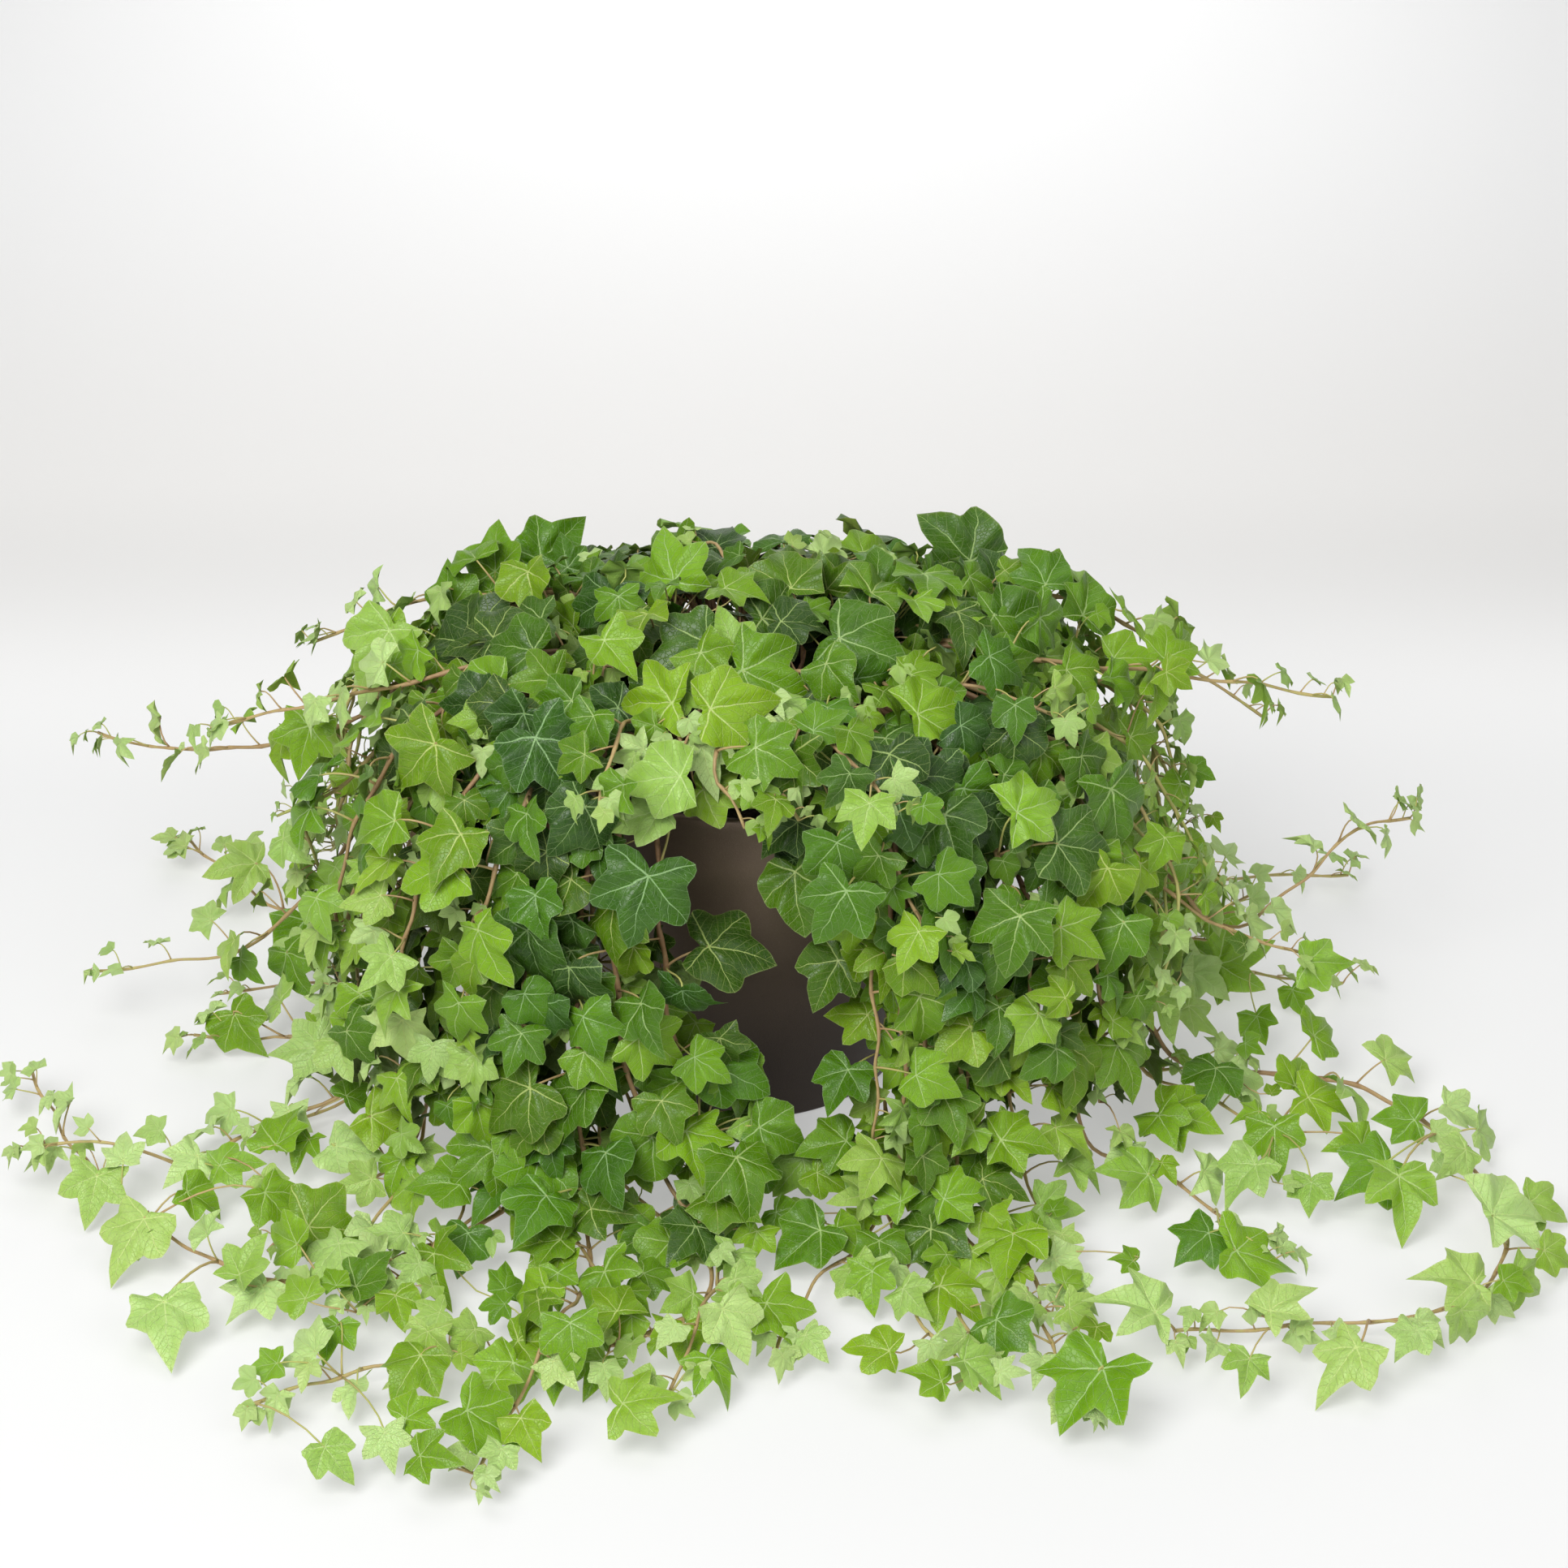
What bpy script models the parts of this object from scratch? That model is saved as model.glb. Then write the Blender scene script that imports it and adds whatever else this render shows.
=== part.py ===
"""Potted ivy: a round tapered planter, its potting soil, and leafy ivy vines that rise from the soil,
mound over the rim, hang down all round and run out along the floor.

Metres, +Z up. The origin is the centre of the planter's foot, on the floor. The front is -Y.
"""

import math

import bmesh
import bpy
import numpy as np
from mathutils.bvhtree import BVHTree

# Planter
POT_HEIGHT = 0.245
RIM_RADIUS = 0.132
FOOT_RADIUS = 0.104
WALL = 0.005
FOOT_THICKNESS = 0.006
FOOT_ROUND = 0.003
POT_STEPS = 36

# Soil
SOIL_TOP = 0.226
SOIL_CROWN = 0.003
GAP = 0.0003
HOLE_DEPTH = 0.022
HOLE_SIDES = 4

# Stems
STEM_RADIUS = 0.0022
HOLE_RADIUS = (STEM_RADIUS + GAP) / math.cos(math.pi / HOLE_SIDES)
STEM_TIP_RADIUS = 0.0013
STEM_STEP = 0.060
ROOT_TO_FIRST_LEAF = 0.045

# Leaves: a size is the length from the petiole's point to the tip of the middle lobe
LEAF_PITCH = 0.049
LEAF_SCALE = 0.87
LEAF_HALF_THICKNESS = 0.0010
PETIOLE_RADIUS = 0.0009
SMALL_LEAF = 0.030
TINY_LEAF = 0.019
FLOOR_CLEARANCE = 0.0012
LEAF_TRIES = 12
TEST_LEAF_GROWTH = 1.04
TEST_HALF_THICKNESS = 0.0022
TEST_STEM_GROWTH = 0.0008
STEM_TURNS = (0, 3, -3, 6, -6, 9, -9, 12, -12)

# The front of the planter stays bare inside this slanting band, seen from the front and above
BARE_START = np.array([-0.040, 0.222])
BARE_END = np.array([0.056, 0.056])
BARE_HALF_WIDTH = 0.031
BARE_BEHIND_Y = -0.05
FRONT_FACE_Y = -0.118
VIEW_SLOPE = math.tan(math.radians(30))

UP = np.array([0.0, 0.0, 1.0])

# Leaf outline: angle from the tip in degrees, and distance from the petiole's point over the leaf's size
FIVE_LOBES = ((0, 1.0), (28, 0.58), (53, 0.80), (87, 0.55), (119, 0.62), (180, 0.14))
SMALL_LOBES = ((0, 1.0), (30, 0.58), (58, 0.78), (122, 0.54), (180, 0.15))
TINY_LOBES = ((0, 1.0), (34, 0.56), (72, 0.72), (180, 0.16))
NOTCHES = (28, 30, 34, 87)
NOTCH_SPREAD = 0.10

# Vines that reach the floor, by hand: name, leaf size, lift over the rim, and points as azimuth in
# degrees (0 in front, 90 to the right), distance from the planter's axis, and height
RUNNERS = (
    ("runner_left_long", 0.040, 0.010, (
        (-37, 0.190, 0.245), (-36, 0.224, 0.120), (-34, 0.254, 0.022), (-38, 0.330, 0.012),
        (-43, 0.400, 0.012), (-54, 0.432, 0.013), (-69, 0.457, 0.015), (-80, 0.478, 0.022))),
    ("runner_left", 0.038, 0.004, (
        (-64, 0.205, 0.245), (-68, 0.252, 0.120), (-70, 0.278, 0.022), (-68, 0.340, 0.012),
        (-64, 0.395, 0.014), (-66, 0.440, 0.036), (-69, 0.490, 0.030))),
    ("runner_front_loop", 0.040, 0.014, (
        (-26, 0.176, 0.240), (-22, 0.206, 0.130), (-13, 0.226, 0.045), (-6, 0.252, 0.016), (-4, 0.304, 0.012),
        (-11, 0.355, 0.012), (-23, 0.390, 0.012), (-31, 0.440, 0.012), (-35, 0.498, 0.014))),
    ("runner_front_left", 0.044, 0.002, (
        (-31, 0.184, 0.242), (-28, 0.220, 0.110), (-23, 0.250, 0.020), (-18, 0.312, 0.012),
        (-17, 0.372, 0.036), (-18, 0.430, 0.013), (-18, 0.492, 0.013))),
    ("runner_front", 0.042, 0.020, (
        (-21, 0.172, 0.236), (-16, 0.196, 0.120), (-9, 0.216, 0.040), (-7, 0.244, 0.015), (-6, 0.292, 0.013),
        (-7, 0.350, 0.036), (-9, 0.408, 0.014))),
    ("runner_front_right", 0.044, 0.006, (
        (30, 0.166, 0.235), (30, 0.180, 0.130), (27, 0.196, 0.040), (22, 0.236, 0.013),
        (20, 0.285, 0.012), (18, 0.350, 0.012), (20, 0.412, 0.013))),
    ("runner_right_front", 0.046, 0.014, (
        (39, 0.180, 0.240), (40, 0.214, 0.110), (39, 0.246, 0.020), (34, 0.310, 0.012),
        (28, 0.388, 0.012), (25, 0.458, 0.014))),
    ("runner_right_long", 0.042, 0.008, (
        (75, 0.205, 0.245), (77, 0.252, 0.120), (78, 0.286, 0.022), (79, 0.352, 0.012),
        (78, 0.420, 0.012), (70, 0.490, 0.012), (61, 0.538, 0.012), (53, 0.530, 0.012),
        (45, 0.472, 0.012), (37, 0.428, 0.013))),
    ("runner_right", 0.042, 0.012, (
        (53, 0.195, 0.245), (55, 0.236, 0.120), (55, 0.266, 0.022), (56, 0.322, 0.012),
        (53, 0.372, 0.012), (50, 0.425, 0.014))),
    ("runner_right_back", 0.040, 0.004, (
        (100, 0.205, 0.245), (101, 0.254, 0.120), (101, 0.290, 0.022), (99, 0.352, 0.012),
        (95, 0.412, 0.016))),
)

# Thin shoots that stand out of the mound at its sides, by hand, in the same form
SHOOTS = (
    ("shoot_left_low", 0.032, 0.012, (
        (-91, 0.200, 0.262), (-91, 0.262, 0.150), (-91, 0.330, 0.070), (-92, 0.390, 0.048),
        (-92, 0.440, 0.040))),
    ("shoot_left_middle", 0.034, 0.022, (
        (-103, 0.200, 0.272), (-104, 0.272, 0.206), (-105, 0.350, 0.172), (-107, 0.430, 0.152),
        (-109, 0.480, 0.146))),
    ("shoot_left_high", 0.036, 0.030, (
        (-82, 0.190, 0.292), (-86, 0.246, 0.272), (-90, 0.300, 0.250), (-92, 0.345, 0.232))),
    ("shoot_left_top", 0.034, 0.036, (
        (-114, 0.170, 0.298), (-112, 0.216, 0.292), (-110, 0.264, 0.272), (-109, 0.308, 0.246))),
    ("shoot_right_low", 0.036, 0.016, (
        (88, 0.200, 0.262), (90, 0.262, 0.150), (92, 0.322, 0.078), (95, 0.372, 0.098),
        (98, 0.420, 0.128), (101, 0.462, 0.116))),
    ("shoot_right_middle", 0.034, 0.024, (
        (66, 0.192, 0.276), (69, 0.250, 0.206), (72, 0.306, 0.152), (76, 0.368, 0.120))),
    ("shoot_right_high", 0.036, 0.034, (
        (82, 0.186, 0.300), (85, 0.246, 0.292), (87, 0.312, 0.280), (89, 0.376, 0.264))),
    ("shoot_right_top", 0.034, 0.028, (
        (110, 0.186, 0.302), (108, 0.238, 0.290), (105, 0.300, 0.244), (102, 0.354, 0.204))),
)

# Vines that hang beside the planter and end above the floor: azimuth, reach, and height of the end
CURTAINS = (
    ("curtain_left_front", 0.044, -44, 0.245, 0.085),
    ("curtain_left", 0.046, -55, 0.258, 0.050),
    ("curtain_left_side", 0.044, -76, 0.268, 0.060),
    ("curtain_right_front", 0.044, 46, 0.244, 0.070),
    ("curtain_right", 0.044, 61, 0.256, 0.060),
    ("curtain_front_left", 0.046, -29, 0.200, 0.120),
)

# The back is like the front: runners and hanging vines by turns
BACK_FIRST = 116
BACK_LAST = 244
BACK_VINES = 9
BACK_REACH = (0.47, 0.262)

# Crown stems arch over the soil: azimuth of each ring's first stem, count, and reach and height where
# the mound is highest and where it is lowest, which is at the back and a little to the left
LOW_SIDE = 200
CROWN_RINGS = (("crown", 0.045, 12, 8, (0.225, 0.160), (0.306, 0.282)),
               ("crown_inner", 0.022, 20, 3, (0.125, 0.115), (0.312, 0.298)))
FRONT_SPRAY = ("front_spray", 0.044, 0, ((-12, 0.104, 0.305), (-18, 0.135, 0.300), (-22, 0.158, 0.280)))


def unit(vector):
    return vector / np.linalg.norm(vector)


def smooth(value, low, high):
    """0 under low, 1 over high, and a smooth step between."""
    t = min(1.0, max(0.0, (value - low) / (high - low)))
    return t * t * (3 - 2 * t)


def polar(azimuth, radius, height):
    """A point from its azimuth in degrees, its distance from the axis and its height."""
    a = math.radians(azimuth)
    return np.array([radius * math.sin(a), -radius * math.cos(a), height])


def spline(points, step):
    """A smooth curve through the points (Catmull-Rom), read off about every step of its length."""
    p = np.asarray(points, float)
    p = np.vstack([2 * p[0] - p[1], p, 2 * p[-1] - p[-2]])
    t = np.linspace(0, 1, 24, endpoint=False)[:, None]
    runs = []
    for a, b, c, d in zip(p[:-3], p[1:-2], p[2:-1], p[3:]):
        runs.append(0.5 * (2 * b + (c - a) * t + (2 * a - 5 * b + 4 * c - d) * t**2 + (3 * b - a - 3 * c + d) * t**3))
    curve = np.vstack(runs + [p[-2:-1]])
    length = np.concatenate([[0], np.cumsum(np.linalg.norm(np.diff(curve, axis=0), axis=1))])
    marks = np.linspace(0, length[-1], max(2, round(length[-1] / step) + 1))
    return np.stack([np.interp(marks, length, curve[:, axis]) for axis in range(3)], 1)


def vine_route(root_radius, lift, points, turn):
    """From the soil's surface straight up, over the rim, and on through the vine's own points, all of
    it turned round the planter's axis by a few degrees where it has to clear another vine."""
    azimuth = points[0][0]
    start = [(azimuth, root_radius, SOIL_TOP + 0.003)]
    if points[0][1] > RIM_RADIUS:
        start.append((azimuth, 0.5 * (root_radius + 0.104), 0.262 + lift))
        start.append((azimuth, 0.146, 0.272 + lift))
    return [polar(a + turn, radius, height) for a, radius, height in start + list(points)]


def vines():
    """Every vine as name, leaf size, root radius, lift over the rim and points."""
    rows = []
    for i, (name, size, lift, points) in enumerate(RUNNERS + SHOOTS + (FRONT_SPRAY,)):
        rows.append((name, size, (0.094, 0.076)[i % 2], lift, points))
    for name, size, azimuth, reach, end in CURTAINS:
        hang = ((azimuth, reach - 0.050, 0.262), (azimuth, reach, 0.170), (azimuth, reach + 0.004, end))
        rows.append((name, size, 0.058, 0.022, hang))
    for i in range(BACK_VINES):
        azimuth = BACK_FIRST + (BACK_LAST - BACK_FIRST) * i / (BACK_VINES - 1)
        reach = BACK_REACH[i % 2]
        hang = [(azimuth, 0.205, 0.250), (azimuth, 0.250, 0.130)]
        if i % 2 == 0:
            hang += [(azimuth, 0.282, 0.022), (azimuth + 4, 0.350, 0.012), (azimuth - 3, reach, 0.014)]
        else:
            hang += [(azimuth, reach, 0.060)]
        name = f"back_runner_{i // 2 + 1}" if i % 2 == 0 else f"back_curtain_{i // 2 + 1}"
        rows.append((name, 0.042, (0.092, 0.066)[i % 2], 0.004 + 0.010 * (i % 2), hang))
    for name, root_radius, first, count, reaches, heights in CROWN_RINGS:
        for i in range(count):
            azimuth = first + 360 * i / count
            low = 0.5 + 0.5 * math.cos(math.radians(azimuth - LOW_SIDE))
            reach = reaches[0] + low * (reaches[1] - reaches[0])
            height = heights[0] + low * (heights[1] - heights[0])
            arch = ((azimuth, root_radius + 0.25 * (reach - root_radius), height - 0.022),
                    (azimuth + 6, root_radius + 0.62 * (reach - root_radius), height + 0.008),
                    (azimuth + 12, reach, height - 0.012))
            rows.append((f"{name}_{i + 1}", 0.043, root_radius, 0, arch))
    return rows


def outline(size, draws):
    """Points round a leaf's edge in its own plane: x across, y to the tip, z off the plane. The blade
    droops with the square of the distance from the petiole, folds up along its midrib, and waves."""
    lobes = FIVE_LOBES if size > SMALL_LEAF else SMALL_LOBES if size > TINY_LEAF else TINY_LOBES
    lobes = [(a, r - NOTCH_SPREAD * draws[0] * (a in NOTCHES)) for a, r in lobes]
    angle = np.radians([-a for a, _ in reversed(lobes[1:])] + [a for a, _ in lobes[:-1]])
    reach = np.array([r for _, r in reversed(lobes[1:])] + [r for _, r in lobes[:-1]])
    reach = reach * (1 + 0.07 * draws[1] * np.sin(angle))
    droop = 0.16 + 0.10 * draws[2]
    fold = 0.16 + 0.14 * draws[3]
    wave = 0.05 * np.cos(3 * angle + 3 * draws[4])
    x, y = reach * np.sin(angle), reach * np.cos(angle)
    z = -droop * reach**2 + fold * np.abs(x) + wave * reach
    return size * np.stack([x, y, z], 1)


def leaf_pose(stem_point, along, side, size, draws):
    """The petiole's point on the blade, and the blade's axes: across, to the tip, and its normal.
    Leaves on the mound face outwards with their tips down; leaves on the floor face up and lean out."""
    low = 1 - smooth(stem_point[2], 0.03, 0.15)
    radial = unit(stem_point * (1, 1, 0) + 1e-6)
    top = (1 - low) * (1 - smooth(np.hypot(stem_point[0], stem_point[1]), 0.10, 0.25))
    mound_face = (1 - 0.6 * top) * radial + (0.70 + 0.1 * top) * UP + (0, -0.26 - 0.30 * top, 0)
    face = unit((1 - low) * mound_face + low * (UP + 0.45 * radial + (0, -0.25, 0)))
    across = side * unit(np.cross(along, face) + 1e-6)
    leave = unit(0.62 * face + (0.50 + 0.20 * draws[5]) * across + 0.25 * along)
    blade_point = stem_point + (0.66 + 0.16 * draws[6]) * size * leave + 0.006 * leave
    normal = unit(face + 0.58 * draws[7] * across + 0.46 * draws[8] * along)
    fall = max(low, top) * radial - (1 - low - 0.6 * top) * UP + (0.50 + 0.75 * draws[9]) * across
    tip = unit(fall - normal * (fall @ normal))
    return blade_point, np.stack([np.cross(tip, normal), tip, normal])


def leaf_mesh(size, draws, blade_point, axes, stem_point, edge=1.0, half=LEAF_HALF_THICKNESS):
    """One leaf as a closed mesh: a lobed blade, thickest at its petiole and thin at its edge, and a
    three-sided petiole that ends on the stem's axis. Both faces are split alike."""
    rim = blade_point + edge * outline(size, draws) @ axes
    count = len(rim)
    turn = np.radians([60, 180, 300])
    collar = blade_point - half * axes[2] + PETIOLE_RADIUS * (
        np.outer(np.sin(turn), axes[0]) + np.outer(np.cos(turn), axes[1]))
    run = unit(stem_point - blade_point)
    first = unit(axes[1] - run * (run @ axes[1]))
    second = np.cross(run, first)
    root = stem_point + 0.85 * PETIOLE_RADIUS * (np.outer(np.cos(turn), first) + np.outer(np.sin(turn), second))
    points = np.vstack([rim, blade_point + half * axes[2], collar, root])
    top, low, end = count, count + 1, count + 4
    local = outline(size, draws)
    bearing = np.degrees(np.arctan2(local[:, 0], local[:, 1])) % 360
    nearest = [int(b // 120) for b in bearing]
    faces = []
    for i in range(count):
        j = (i + 1) % count
        faces.append((top, j, i))
        faces.append((low + nearest[i], i, j))
        if nearest[i] != nearest[j]:
            faces.append((low + nearest[i], j, low + nearest[j]))
    for i in range(3):
        j = (i + 1) % 3
        faces.append((low + i, low + j, end + j))
        faces.append((low + i, end + j, end + i))
    faces.append((end, end + 1, end + 2))
    return points, faces


def tube_test(path, radius):
    """A plain four-sided tube round a path, used only to keep pieces apart."""
    along = np.gradient(path, axis=0)
    along /= np.linalg.norm(along, axis=1)[:, None]
    first = np.cross(along, (0.31, 0.52, 0.79))
    first /= np.linalg.norm(first, axis=1)[:, None]
    second = np.cross(along, first)
    rings = [path + radius * side for side in (first, second, -first, -second)]
    points = np.concatenate(rings)
    n = len(path)
    faces = []
    for k in range(4):
        for i in range(n - 1):
            a, b = k * n + i, ((k + 1) % 4) * n + i
            faces.append((a, b, b + 1, a + 1))
    return points, faces


def planter_test():
    """The planter and soil as one plain turned surface, a little larger, to keep leaves off them."""
    profile = [(0.0, SOIL_TOP + SOIL_CROWN + 0.002), (RIM_RADIUS - WALL - 0.002, SOIL_TOP + 0.002),
               (RIM_RADIUS - WALL - 0.002, POT_HEIGHT + 0.002), (RIM_RADIUS + 0.002, POT_HEIGHT + 0.002),
               (FOOT_RADIUS + 0.002, 0.0)]
    count = 32
    points = np.array([polar(360 * i / count, r, z) for i in range(count) for r, z in profile])
    rows = len(profile)
    faces = []
    for i in range(count):
        for k in range(rows - 1):
            a, b = i * rows + k, ((i + 1) % count) * rows + k
            faces.append((a, b, b + 1, a + 1))
    return points, faces


def tree_of(mesh):
    points, faces = mesh
    return BVHTree.FromPolygons([tuple(p) for p in points], faces)


def in_bare_window(points):
    """Whether any point hides the band of the planter that stays bare. Each point is moved along the
    view's direction, down and back, to the planter's front, and its distance from the band measured."""
    height = points[:, 2] - (FRONT_FACE_Y - points[:, 1]) * VIEW_SLOPE
    flat = np.stack([points[:, 0], height], 1)
    span = BARE_END - BARE_START
    share = np.clip((flat - BARE_START) @ span / (span @ span), 0, 1)
    away = np.linalg.norm(flat - BARE_START - share[:, None] * span, axis=1)
    return bool(((away < BARE_HALF_WIDTH) & (points[:, 1] < BARE_BEHIND_Y)).any())


def grow():
    """Every vine with the leaves that clear the planter, the floor, and all other stems and leaves."""
    plants = []
    for index, (name, size, root_radius, lift, points) in enumerate(vines()):
        for turn in STEM_TURNS:
            path = spline(vine_route(root_radius, lift, points, turn), STEM_STEP)
            root = path[0] * (1, 1, 0) + UP * (SOIL_TOP - HOLE_DEPTH + GAP)
            stem = np.vstack([root, path])
            tree = tree_of(tube_test(stem, STEM_RADIUS + TEST_STEM_GROWTH))
            if not any(tree.overlap(other["tree"]) for other in plants):
                break
        else:
            raise ValueError(name + " crosses another stem")
        plants.append({"name": name, "size": size, "path": path, "stem": stem, "leaves": [],
                       "random": np.random.default_rng(200 + index), "tree": tree})
    placed = [(np.zeros(3), 1.0, tree_of(planter_test()))]
    waiting = []
    for plant in plants:
        path = plant["path"]
        length = np.concatenate([[0], np.cumsum(np.linalg.norm(np.diff(path, axis=0), axis=1))])
        marks = np.arange(length[-1], ROOT_TO_FIRST_LEAF, -LEAF_PITCH)
        for order, mark in enumerate(marks):
            waiting.append((order, plant, mark / length[-1], mark, length))
    waiting.sort(key=lambda row: row[0])
    for order, plant, share, mark, length in waiting:
        path = plant["path"]
        at = min(int(np.searchsorted(length, mark, side="right")) - 1, len(path) - 2)
        along = unit(path[at + 1] - path[at])
        stem_point = path[at] + along * min(mark - length[at], (length[at + 1] - length[at]) * 0.98)
        size = LEAF_SCALE * plant["size"] * np.interp(share, (0, 0.3, 0.6, 0.85, 1), (0.85, 1.0, 0.92, 0.62, 0.40))
        for attempt in range(LEAF_TRIES):
            draws = plant["random"].uniform(-1, 1, 11)
            if attempt > 5:
                draws[5:10] *= 1.8
            side = 1 if (order + attempt) % 2 else -1
            this = size * (1 + 0.20 * draws[10]) * (1 - 0.02 * attempt)
            point, axes = leaf_pose(stem_point, along, side, this, draws)
            rim = point + outline(this, draws) @ axes
            point = point + UP * max(0, FLOOR_CLEARANCE - rim[:, 2].min())
            if (point - stem_point) @ axes[2] < 0.3 * np.linalg.norm(point - stem_point):
                continue
            rim = point + outline(this, draws) @ axes
            if in_bare_window(rim):
                continue
            test = tree_of(leaf_mesh(this, draws, point, axes, stem_point, TEST_LEAF_GROWTH, TEST_HALF_THICKNESS))
            if any(np.linalg.norm(point - there) < near + 1.1 * this and test.overlap(tree)
                   for there, near, tree in placed):
                continue
            if any(other is not plant and test.overlap(other["tree"]) for other in plants):
                continue
            blade = tree_of((np.vstack([rim, point + 0.003 * axes[2]]),
                             [(len(rim), (i + 1) % len(rim), i) for i in range(len(rim))]))
            if blade.overlap(plant["tree"]):
                continue
            plant["leaves"].append((this, draws, point, axes, stem_point))
            placed.append((point, 1.8 * this, test))
            break
    return plants


def material(name, color, roughness, metallic=0.0):
    made = bpy.data.materials.new(name)
    made.use_nodes = True
    shader = made.node_tree.nodes["Principled BSDF"]
    shader.inputs["Base Color"].default_value = (*color, 1.0)
    shader.inputs["Roughness"].default_value = roughness
    shader.inputs["Metallic"].default_value = metallic
    made.diffuse_color = (*color, 1.0)
    return made


def add_object(name, points, faces, collection, finish):
    mesh = bpy.data.meshes.new(name)
    mesh.from_pydata([tuple(p) for p in points], [], faces)
    mesh.materials.append(finish)
    made = bpy.data.objects.new(name, mesh)
    collection.objects.link(made)
    return made


def turned(name, profile, collection, finish):
    """A turned solid from its profile (radius, height), which runs down its outer side."""
    mesh = bpy.data.meshes.new(name)
    mesh.from_pydata([(r, 0.0, z) for r, z in profile], [(i, i + 1) for i in range(len(profile) - 1)], [])
    mesh.materials.append(finish)
    made = bpy.data.objects.new(name, mesh)
    collection.objects.link(made)
    screw = made.modifiers.new("Screw", "SCREW")
    screw.steps = POT_STEPS
    screw.render_steps = POT_STEPS
    screw.use_merge_vertices = True
    screw.merge_threshold = 0.00001
    return made


def apply_modifiers(made):
    """The object's evaluated mesh becomes its own, with its modifiers used up."""
    mesh = bpy.data.meshes.new_from_object(made.evaluated_get(bpy.context.evaluated_depsgraph_get()))
    made.modifiers.clear()
    made.data = mesh


def planter(collection):
    """A tapered shell with a rounded lip, a flat foot and a flat floor inside."""
    inside = RIM_RADIUS - WALL
    taper = (RIM_RADIUS - FOOT_RADIUS) / POT_HEIGHT
    profile = [
        (0.0, FOOT_THICKNESS),
        (FOOT_RADIUS - WALL + taper * FOOT_THICKNESS, FOOT_THICKNESS),
        (inside - taper * 0.0015, POT_HEIGHT - 0.0015),
        (inside + 0.0015, POT_HEIGHT),
        (RIM_RADIUS - 0.0015, POT_HEIGHT),
        (RIM_RADIUS, POT_HEIGHT - 0.0015),
        (FOOT_RADIUS + taper * FOOT_ROUND, FOOT_ROUND),
        (FOOT_RADIUS - FOOT_ROUND, 0.0),
        (0.0, 0.0),
    ]
    return turned("planter", profile, collection, material("planter_glaze", (0.045, 0.030, 0.022), 0.42, 0.35))


def soil(collection, cutters, plants):
    """Potting mix that fills the planter, with one plain blind hole for each stem."""
    finish = material("potting_soil", (0.035, 0.024, 0.016), 0.95)
    taper = (RIM_RADIUS - FOOT_RADIUS) / POT_HEIGHT
    low = FOOT_THICKNESS + GAP
    wall_at_low = FOOT_RADIUS - WALL + taper * low - GAP
    wall_at_top = FOOT_RADIUS - WALL + taper * SOIL_TOP - GAP
    profile = [(0.0, SOIL_TOP + SOIL_CROWN), (wall_at_top, SOIL_TOP), (wall_at_low, low), (0.0, low)]
    made = turned("soil", profile, collection, finish)
    apply_modifiers(made)
    top = SOIL_TOP + 0.020
    bottom = SOIL_TOP - HOLE_DEPTH
    for plant in plants:
        bm = bmesh.new()
        bmesh.ops.create_cone(bm, cap_ends=True, segments=HOLE_SIDES, radius1=HOLE_RADIUS,
                              radius2=HOLE_RADIUS, depth=top - bottom)
        mesh = bpy.data.meshes.new("stem_hole")
        bm.to_mesh(mesh)
        bm.free()
        hole = bpy.data.objects.new("stem_hole", mesh)
        hole.location = (plant["stem"][0][0], plant["stem"][0][1], 0.5 * (top + bottom))
        hole.hide_render = True
        hole.display_type = "WIRE"
        cutters.objects.link(hole)
    cut = made.modifiers.new("Stem holes", "BOOLEAN")
    cut.operation = "DIFFERENCE"
    cut.operand_type = "COLLECTION"
    cut.collection = cutters
    cut.solver = "EXACT"
    return made


def stem_object(name, stem, collection, finish):
    """A stem as a bevelled curve that thins towards its tip, made a mesh with its caps welded on."""
    curve = bpy.data.curves.new(name, "CURVE")
    curve.dimensions = "3D"
    curve.bevel_depth = STEM_RADIUS
    curve.bevel_resolution = 0
    curve.use_fill_caps = True
    line = curve.splines.new("POLY")
    line.points.add(len(stem) - 1)
    for i, point in enumerate(stem):
        line.points[i].co = (*point, 1.0)
        line.points[i].radius = 1 + (STEM_TIP_RADIUS / STEM_RADIUS - 1) * max(0, i - 1) / (len(stem) - 2)
    guide = bpy.data.objects.new(name + "_guide", curve)
    collection.objects.link(guide)
    mesh = bpy.data.meshes.new_from_object(guide.evaluated_get(bpy.context.evaluated_depsgraph_get()))
    bpy.data.objects.remove(guide)
    bm = bmesh.new()
    bm.from_mesh(mesh)
    bmesh.ops.remove_doubles(bm, verts=bm.verts, dist=0.00001)
    bm.to_mesh(mesh)
    bm.free()
    mesh.materials.clear()
    mesh.materials.append(finish)
    made = bpy.data.objects.new(name, mesh)
    collection.objects.link(made)
    return made


def vine_object(plant, collection, leaf_collection, finish):
    """One vine: its stem with every leaf joined to it in one closed solid."""
    made = stem_object(plant["name"], plant["stem"], collection, finish)
    for leaf in plant["leaves"]:
        points, faces = leaf_mesh(*leaf)
        add_object("leaf", points, faces, leaf_collection, finish)
    join = made.modifiers.new("Leaves", "BOOLEAN")
    join.operation = "UNION"
    join.operand_type = "COLLECTION"
    join.collection = leaf_collection
    join.solver = "EXACT"
    apply_modifiers(made)
    for leaf in list(leaf_collection.objects):
        bpy.data.objects.remove(leaf)
    return made


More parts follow.
